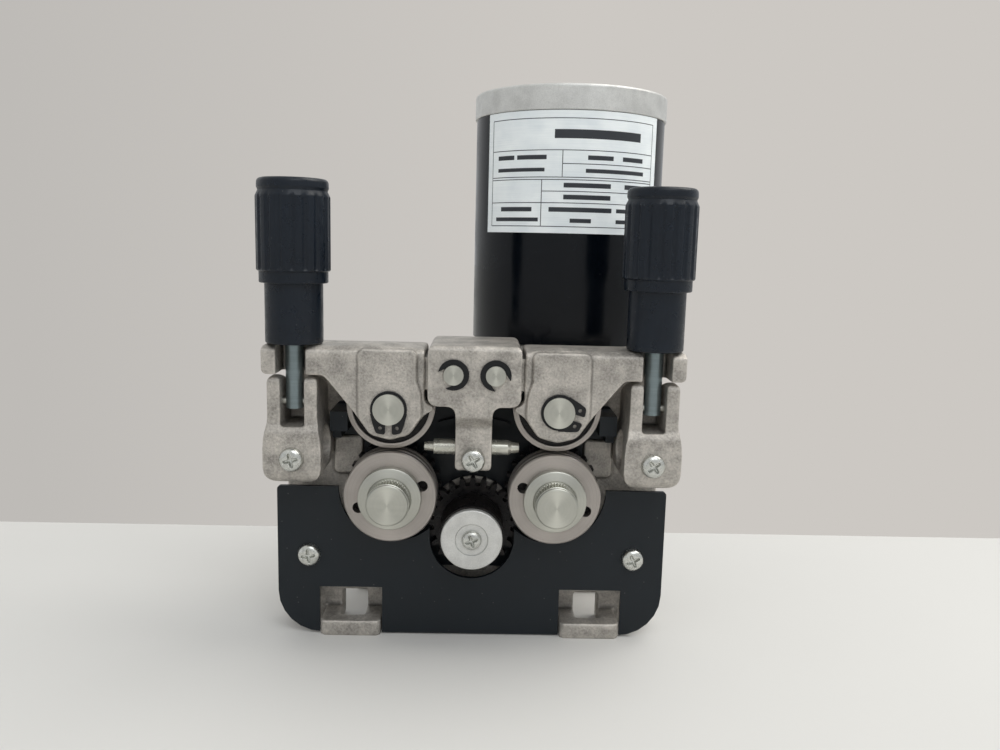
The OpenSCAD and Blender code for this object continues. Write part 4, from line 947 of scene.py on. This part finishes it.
@dataclass(frozen=True)
class ThumbScrew(SidePiece):
    """The knurled screw that holds a drive roll on its carrier."""

    node: str = "thumb_screw"
    ending: str = "knurled"
    body: str = "roll"
    slot: str = "nickel_steel"
    facing: Facing = Facing.OPERATOR
    centre: Place = (ROLL_AXIS[0], 0.0, ROLL_AXIS[1])
    stem: float = 2.95
    stem_l: float = 4.9
    barrel: float = 8.4
    step: float = 0.35
    flange: float = 12.5
    flange_t: float = 3.9
    length: float = 12.0
    chamfer: float = 1.1
    knurls: int = 44
    knurl_depth: float = 1.0

    def shape(self) -> Shape:
        """Works out the screw.

        The barrel's radius is the profile's less the knurl's depth times a cosine wave
        of the knurl count, raised to a power that narrows its ridges. The band keeps
        the knurl between flange and chamfer.

        Returns:
            The screw's points and faces.
        """
        rim = self.length - self.chamfer
        corners = [
            (0, -self.stem_l, 0), (self.stem, -self.stem_l, 0.4), (self.stem, 0, 0),
            (self.flange, 0, 0.3), (self.flange, self.flange_t - 0.6, 0.5),
            (self.barrel + 0.4, self.flange_t + 0.2, 0.3), (self.barrel - 0.2, self.flange_t, 0.1),
            (self.barrel, self.flange_t + 0.5, 0.15), (self.barrel, rim, 0.2),
            (self.barrel - self.step, rim + 0.2, 0.15),
            (self.barrel - self.step, self.length, 0.6), (0, self.length, 0)]
        profile = subdivided(rounded_profile(corners, 4), 0.9)
        steps = self.knurls * 12
        radius, height = np.hsplit(profile[1:-1], 2)
        band = ramp(height, self.flange_t + 0.4, 0.3) * ramp(-height, 0.05 - rim, 0.3)
        band = band * (np.abs(radius - self.barrel) < 0.45)
        wave = (0.5 + 0.5 * np.cos(self.knurls * full_turn(steps))) ** 0.7
        return revolved(profile, steps, ripple=-self.knurl_depth * band * wave)


@dataclass(frozen=True)
class TensionKnob(SidePiece):
    """A fluted knob on a tension lever."""

    node: str = "tension_knob"
    ending: str = "fluted"
    body: str = "knob"
    bottom: float = 147.0
    collar: float = 13.0
    collar_l: float = 4.5
    grip: float = 13.9
    top: float = 185.9
    cap_l: float = 4.4
    roof: float = 172.0
    cave: float = 11.3
    bore: float = 3.7
    bore_top: float = 184.8
    flutes: int = 18
    flute_depth: float = 0.6

    def shape(self) -> Shape:
        """Works out the knob.

        Between its ends the grip's radius falls by the flute's depth times the upper
        half of a cosine wave, so broad ridges stand between narrow round flutes, and
        the flutes fade out in round ends under the cap.

        Returns:
            The knob's points and faces.
        """
        shoulder = self.bottom + self.collar_l
        neck = self.top - self.cap_l
        corners = [
            (0, self.bore_top, 0), (self.bore, self.bore_top, 0), (self.bore, self.roof, 0),
            (self.cave, self.roof, 0.5), (self.cave, self.bottom, 0.3),
            (self.collar, self.bottom, 0.5), (self.collar, shoulder - 0.1, 0.15),
            (self.grip, shoulder + 0.1, 0.7), (self.grip, neck - 2.2, 1.6),
            (self.grip - 1.0, neck - 0.1, 0.6), (self.grip - 0.5, neck + 1.0, 0.9),
            (self.grip - 0.65, self.top, 1.7), (0, self.top, 0)]
        profile = subdivided(rounded_profile(corners, 6), 1.0)
        steps = self.flutes * 18
        radius, height = np.hsplit(profile[1:-1], 2)
        groove = np.clip(np.cos(self.flutes * full_turn(steps)), 0, 1)
        fade = np.sqrt(ramp(-height, 1.6 - neck, 1.9)) * ramp(height, shoulder + 0.3, 0.5)
        fade = fade * (radius > self.grip - 1.4)
        return revolved(profile, steps, ripple=-self.flute_depth * groove * fade)


@dataclass(frozen=True)
class SpringSleeve(SidePiece):
    """The plastic sleeve that holds a tension spring."""

    node: str = "tension_sleeve"
    ending: str = "moulded"
    body: str = "sleeve"
    bottom: float = 124.0
    length: float = 37.0
    outer: float = 11.0
    wall: float = 2.0
    floor: float = 3.0
    rod_hole: float = 3.75

    def shape(self) -> Shape:
        """Works out the sleeve: a closed profile of floor, wall and lip, turned."""
        top = self.bottom + self.length
        inner = self.outer - self.wall
        corners = [
            (self.rod_hole, self.bottom + 0.3, 0), (self.rod_hole + 0.3, self.bottom, 0.1),
            (self.outer, self.bottom, 0.7), (self.outer, top, 0.3), (inner, top, 0.3),
            (inner, self.bottom + self.floor, 0.4), (self.rod_hole, self.bottom + self.floor, 0.2),
            (self.rod_hole, self.bottom + 0.3, 0)]
        return ring_surface(subdivided(rounded_profile(corners, 5), 2.0)[:-1], 128)


# ---- rating plate

@dataclass(frozen=True)
class PlateRuling:
    """The ruled lines and plain bars printed on the bare rating plate.

    Angles are in degrees from straight ahead, heights in shares of the plate's. A
    level row is left, right, height; an upright one angle, low, high; a bar left,
    right, height of its middle, and how tall it is in millimetres.
    """

    axis_x: float = 40.75
    axis_y: float = 74.0
    radius: float = 42.75
    bottom: float = 168.6
    height: float = 49.7
    rule: float = 0.32
    proud: float = 0.03
    inside: float = 0.05
    levels: tuple[Place, ...] = (
        (-55, 49.7, 0.936), (-55, 49.7, 0.055), (-55, 49.7, 0.68), (-55, 49.7, 0.46),
        (-55, 49.7, 0.44), (-9, 49.7, 0.57), (-55, 49.7, 0.25), (-20.4, 49.7, 0.345))
    uprights: tuple[Place, ...] = (
        (-55, 0.055, 0.936), (49.7, 0.055, 0.936), (-9, 0.46, 0.68), (-20.4, 0.055, 0.44))
    bars: tuple[Linear, ...] = (
        (-13.8, 38.5, 0.81, 3.6), (-50, -38, 0.622, 1.8), (-36, -18, 0.622, 1.8),
        (-50, -19, 0.52, 1.5), (5, 20, 0.622, 1.8), (26, 41, 0.622, 1.8),
        (4, 42, 0.515, 1.6), (-8, 19, 0.395, 1.9), (28, 44, 0.395, 1.9),
        (-8, 19, 0.298, 1.9), (-47, -26, 0.195, 1.8), (-51, -22, 0.11, 1.6),
        (-16, 20, 0.195, 1.9), (23, 38, 0.195, 1.6), (-4, 8, 0.105, 1.7), (23, 34, 0.105, 1.6))

    def strip(self, left: float, right: float, low: float, high: float) -> Shape:
        """A thin curved block, from just inside the plate to just proud of it.

        A point is the axis plus the radius times (sine, minus cosine) of its angle.

        Args:
            left: angle of its left edge.
            right: angle of its right edge.
            low: height of its lower edge above the plate's, in millimetres.
            high: height of its upper edge.

        Returns:
            The block's points and faces.
        """
        count = max(2, math.ceil((right - left) / 2) + 1)
        angle = np.radians(np.linspace(left, right, count))
        deep, out = self.radius - self.inside, self.radius + self.proud
        loops = [(out, low), (out, high), (deep, high), (deep, low)]
        points = np.concatenate([np.column_stack([
            self.axis_x + r * np.sin(angle), self.axis_y - r * np.cos(angle),
            np.full(count, self.bottom + z)]) for r, z in loops])
        step = np.arange(count - 1)
        a = np.arange(4)[:, None] * count + step
        b = np.roll(a, -1, axis=0)
        sides = np.stack([a, a + 1, b + 1, b], axis=-1).reshape(-1, 4).tolist()
        first = [2 * count, count, 0, 3 * count]
        last = [4 * count - 1, count - 1, 2 * count - 1, 3 * count - 1]
        return points, [*sides, first, last]

    def build(self) -> Object:
        """Makes the ruling.

        Returns:
            One piece with all lines and bars, riding on the frame.
        """
        half = math.degrees(self.rule / 2 / self.radius)
        blocks = [(left, right, share, self.rule) for left, right, share in self.levels]
        strips = [self.strip(left, right, share * self.height - tall / 2,
                             share * self.height + tall / 2)
                  for left, right, share, tall in [*blocks, *self.bars]]
        strips += [self.strip(angle - half, angle + half, low * self.height, high * self.height)
                   for angle, low, high in self.uprights]
        return add_piece(
            "plate_ruling", joined(strips), "frame", "plate_foil", "plate_ink", smooth=False)


# ---- studio

@dataclass(frozen=True)
class Lamp:
    """A square soft lamp; its place and size are in metres."""

    name: str
    place: Place
    size: float
    watts: float
    tint: Colour

    def hang(self, target: Vector) -> None:
        """Hangs the lamp so that it looks at the target."""
        light = bpy.data.lights.new(self.name, "AREA")
        light.size, light.energy = self.size, self.watts
        light.color = linear(self.tint)[:3]
        piece = new_object(self.name, light)
        piece.location = self.place
        aim = target - piece.location
        piece.rotation_euler = aim.to_track_quat("-Z", "Y").to_euler()


@dataclass(frozen=True)
class Studio:
    """Pale floor and backdrop, soft lamps, and the camera.

    The backdrop's tone, painted light, goes from darker on the left to lighter on the right
    between the two places of fade, in metres. The focal length and the width of the view are
    in pixels.
    """

    floor_colour: Colour = (214, 213, 210)
    wall_left: Colour = (190, 187, 183)
    wall_right: Colour = (204, 200, 195)
    horizon: Colour = (205, 207, 209)
    zenith: Colour = (226, 226, 224)
    reach: float = 6000.0
    wall_y: float = 145.6
    wall_reach: float = 4000.0
    fade: tuple[float, float] = (-0.25, 0.05)
    lamps: tuple[Lamp, ...] = (
        Lamp("key_lamp", (0.7, 0.1, 1.2), 0.9, 8.0, (255, 252, 246)),
        Lamp("fill_lamp", (0.3, -0.9, 1.1), 0.8, 4.0, (246, 250, 255)))
    target: Place = (0.0, 0.0, 0.09)
    focal: float = 847.283
    width: float = 1000.0
    pitch: float = 8.76
    yaw: float = 1.38
    roll: float = 1.43
    eye: Place = (1.887, -325.487, 163.384)

    def sheet(self, name: str, corners: Sequence[Place],
              material: Material) -> Object:
        """A flat stage piece between four corners in drawing millimetres."""
        mesh = bpy.data.meshes.new(name)
        mesh.from_pydata(to_frame(np.array(corners, float)).tolist(), [], [[0, 1, 2, 3]])
        mesh.materials.append(material)
        piece = new_object(name, mesh)
        return piece

    def floor(self) -> None:
        """Lays the floor: a matt sheet with a faint cloud in its tone."""
        made, graph = new_material("floor_sheet")
        cloud = graph.noise(graph.place(), 6, 3.0, 0.5)
        graph.paint("Base Color", graph.blend(
            cloud, linear(self.floor_colour, 0.97), linear(self.floor_colour, 1.03)))
        graph.paint("Roughness", 0.7)
        far = self.reach
        self.sheet("floor", [(-far, -far, 0), (far, -far, 0), (far, far, 0), (-far, far, 0)], made)

    def wall(self) -> None:
        """Stands the backdrop, with painted light darker on the left: only the camera sees it, and
        only from its front.
        """
        made, graph = new_material("backdrop_sheet")
        graph.tree.nodes.clear()
        across = graph.node("ShaderNodeSeparateXYZ", {0: graph.place()}).outputs[0]
        # painted light: the backdrop darkens towards the left
        tone = graph.blend(
            graph.span(across, *self.fade), linear(self.wall_left), linear(self.wall_right))
        paint = graph.node("ShaderNodeEmission", {"Color": tone})
        clear = graph.node("ShaderNodeBsdfTransparent")
        seen = graph.node("ShaderNodeLightPath").outputs["Is Camera Ray"]
        back = graph.node("ShaderNodeNewGeometry").outputs["Backfacing"]
        shown = graph.times(seen, graph.math("SUBTRACT", 1.0, back))
        mix = graph.node(
            "ShaderNodeMixShader", {0: shown, 1: clear.outputs[0], 2: paint.outputs[0]})
        graph.node("ShaderNodeOutputMaterial", {0: mix.outputs[0]})
        y, far = self.wall_y, self.wall_reach
        self.sheet("backdrop", [(-far, y, 0), (far, y, 0), (far, y, far), (-far, y, far)], made)

    def sky(self) -> None:
        """Fills the world with pale light that is brighter overhead than at the horizon."""
        world = bpy.data.worlds.new("studio_sky")
        bpy.context.scene.world = world
        world.use_nodes = True
        graph = Graph(world.node_tree)
        towards = graph.node("ShaderNodeTexCoord").outputs["Generated"]
        rise = graph.node("ShaderNodeSeparateXYZ", {0: towards}).outputs[2]
        height = graph.span(rise, 0.0, 0.9)
        shade = world.node_tree.nodes["Background"]
        graph.feed(shade.inputs["Color"], graph.blend(
            height, linear(self.horizon), linear(self.zenith)))

    def camera(self) -> None:
        """Stands the camera at its eye: level, turned by yaw, dipped by pitch, rolled."""
        lens = bpy.data.cameras.new("front_view")
        lens.sensor_fit, lens.sensor_width = "HORIZONTAL", 36.0
        lens.lens = self.focal * lens.sensor_width / self.width
        lens.clip_start = 0.01
        piece = new_object("front_view", lens)
        turn = Matrix.Identity(4)
        for angle, axis in ((-self.yaw, "Z"), (90 - self.pitch, "X"), (self.roll, "Z")):
            turn = turn @ Matrix.Rotation(math.radians(angle), 4, axis)
        eye = to_frame(np.array([self.eye]))[0]
        piece.matrix_world = Matrix.Translation(eye.tolist()) @ turn
        bpy.context.scene.camera = piece

    def build(self) -> None:
        """Sets the whole stage."""
        self.floor()
        self.wall()
        for lamp in self.lamps:
            lamp.hang(Vector(self.target))
        self.sky()
        self.camera()
        bpy.context.scene.view_settings.view_transform = "Standard"
        LOG.info("studio: ready")


def main() -> None:
    """Dresses the nodes, builds each sub-assembly and sets the stage."""
    logging.basicConfig(level=logging.INFO, format="%(message)s")
    dress_nodes()
    for casting in CASTINGS:
        casting.build()
    ScrewSet().build()
    for side in Side:
        for kind in (ThumbScrew, TensionKnob, SpringSleeve):
            kind(side).build()
    PlateRuling().build()
    Studio().build()


if __name__ == "__main__":
    main()
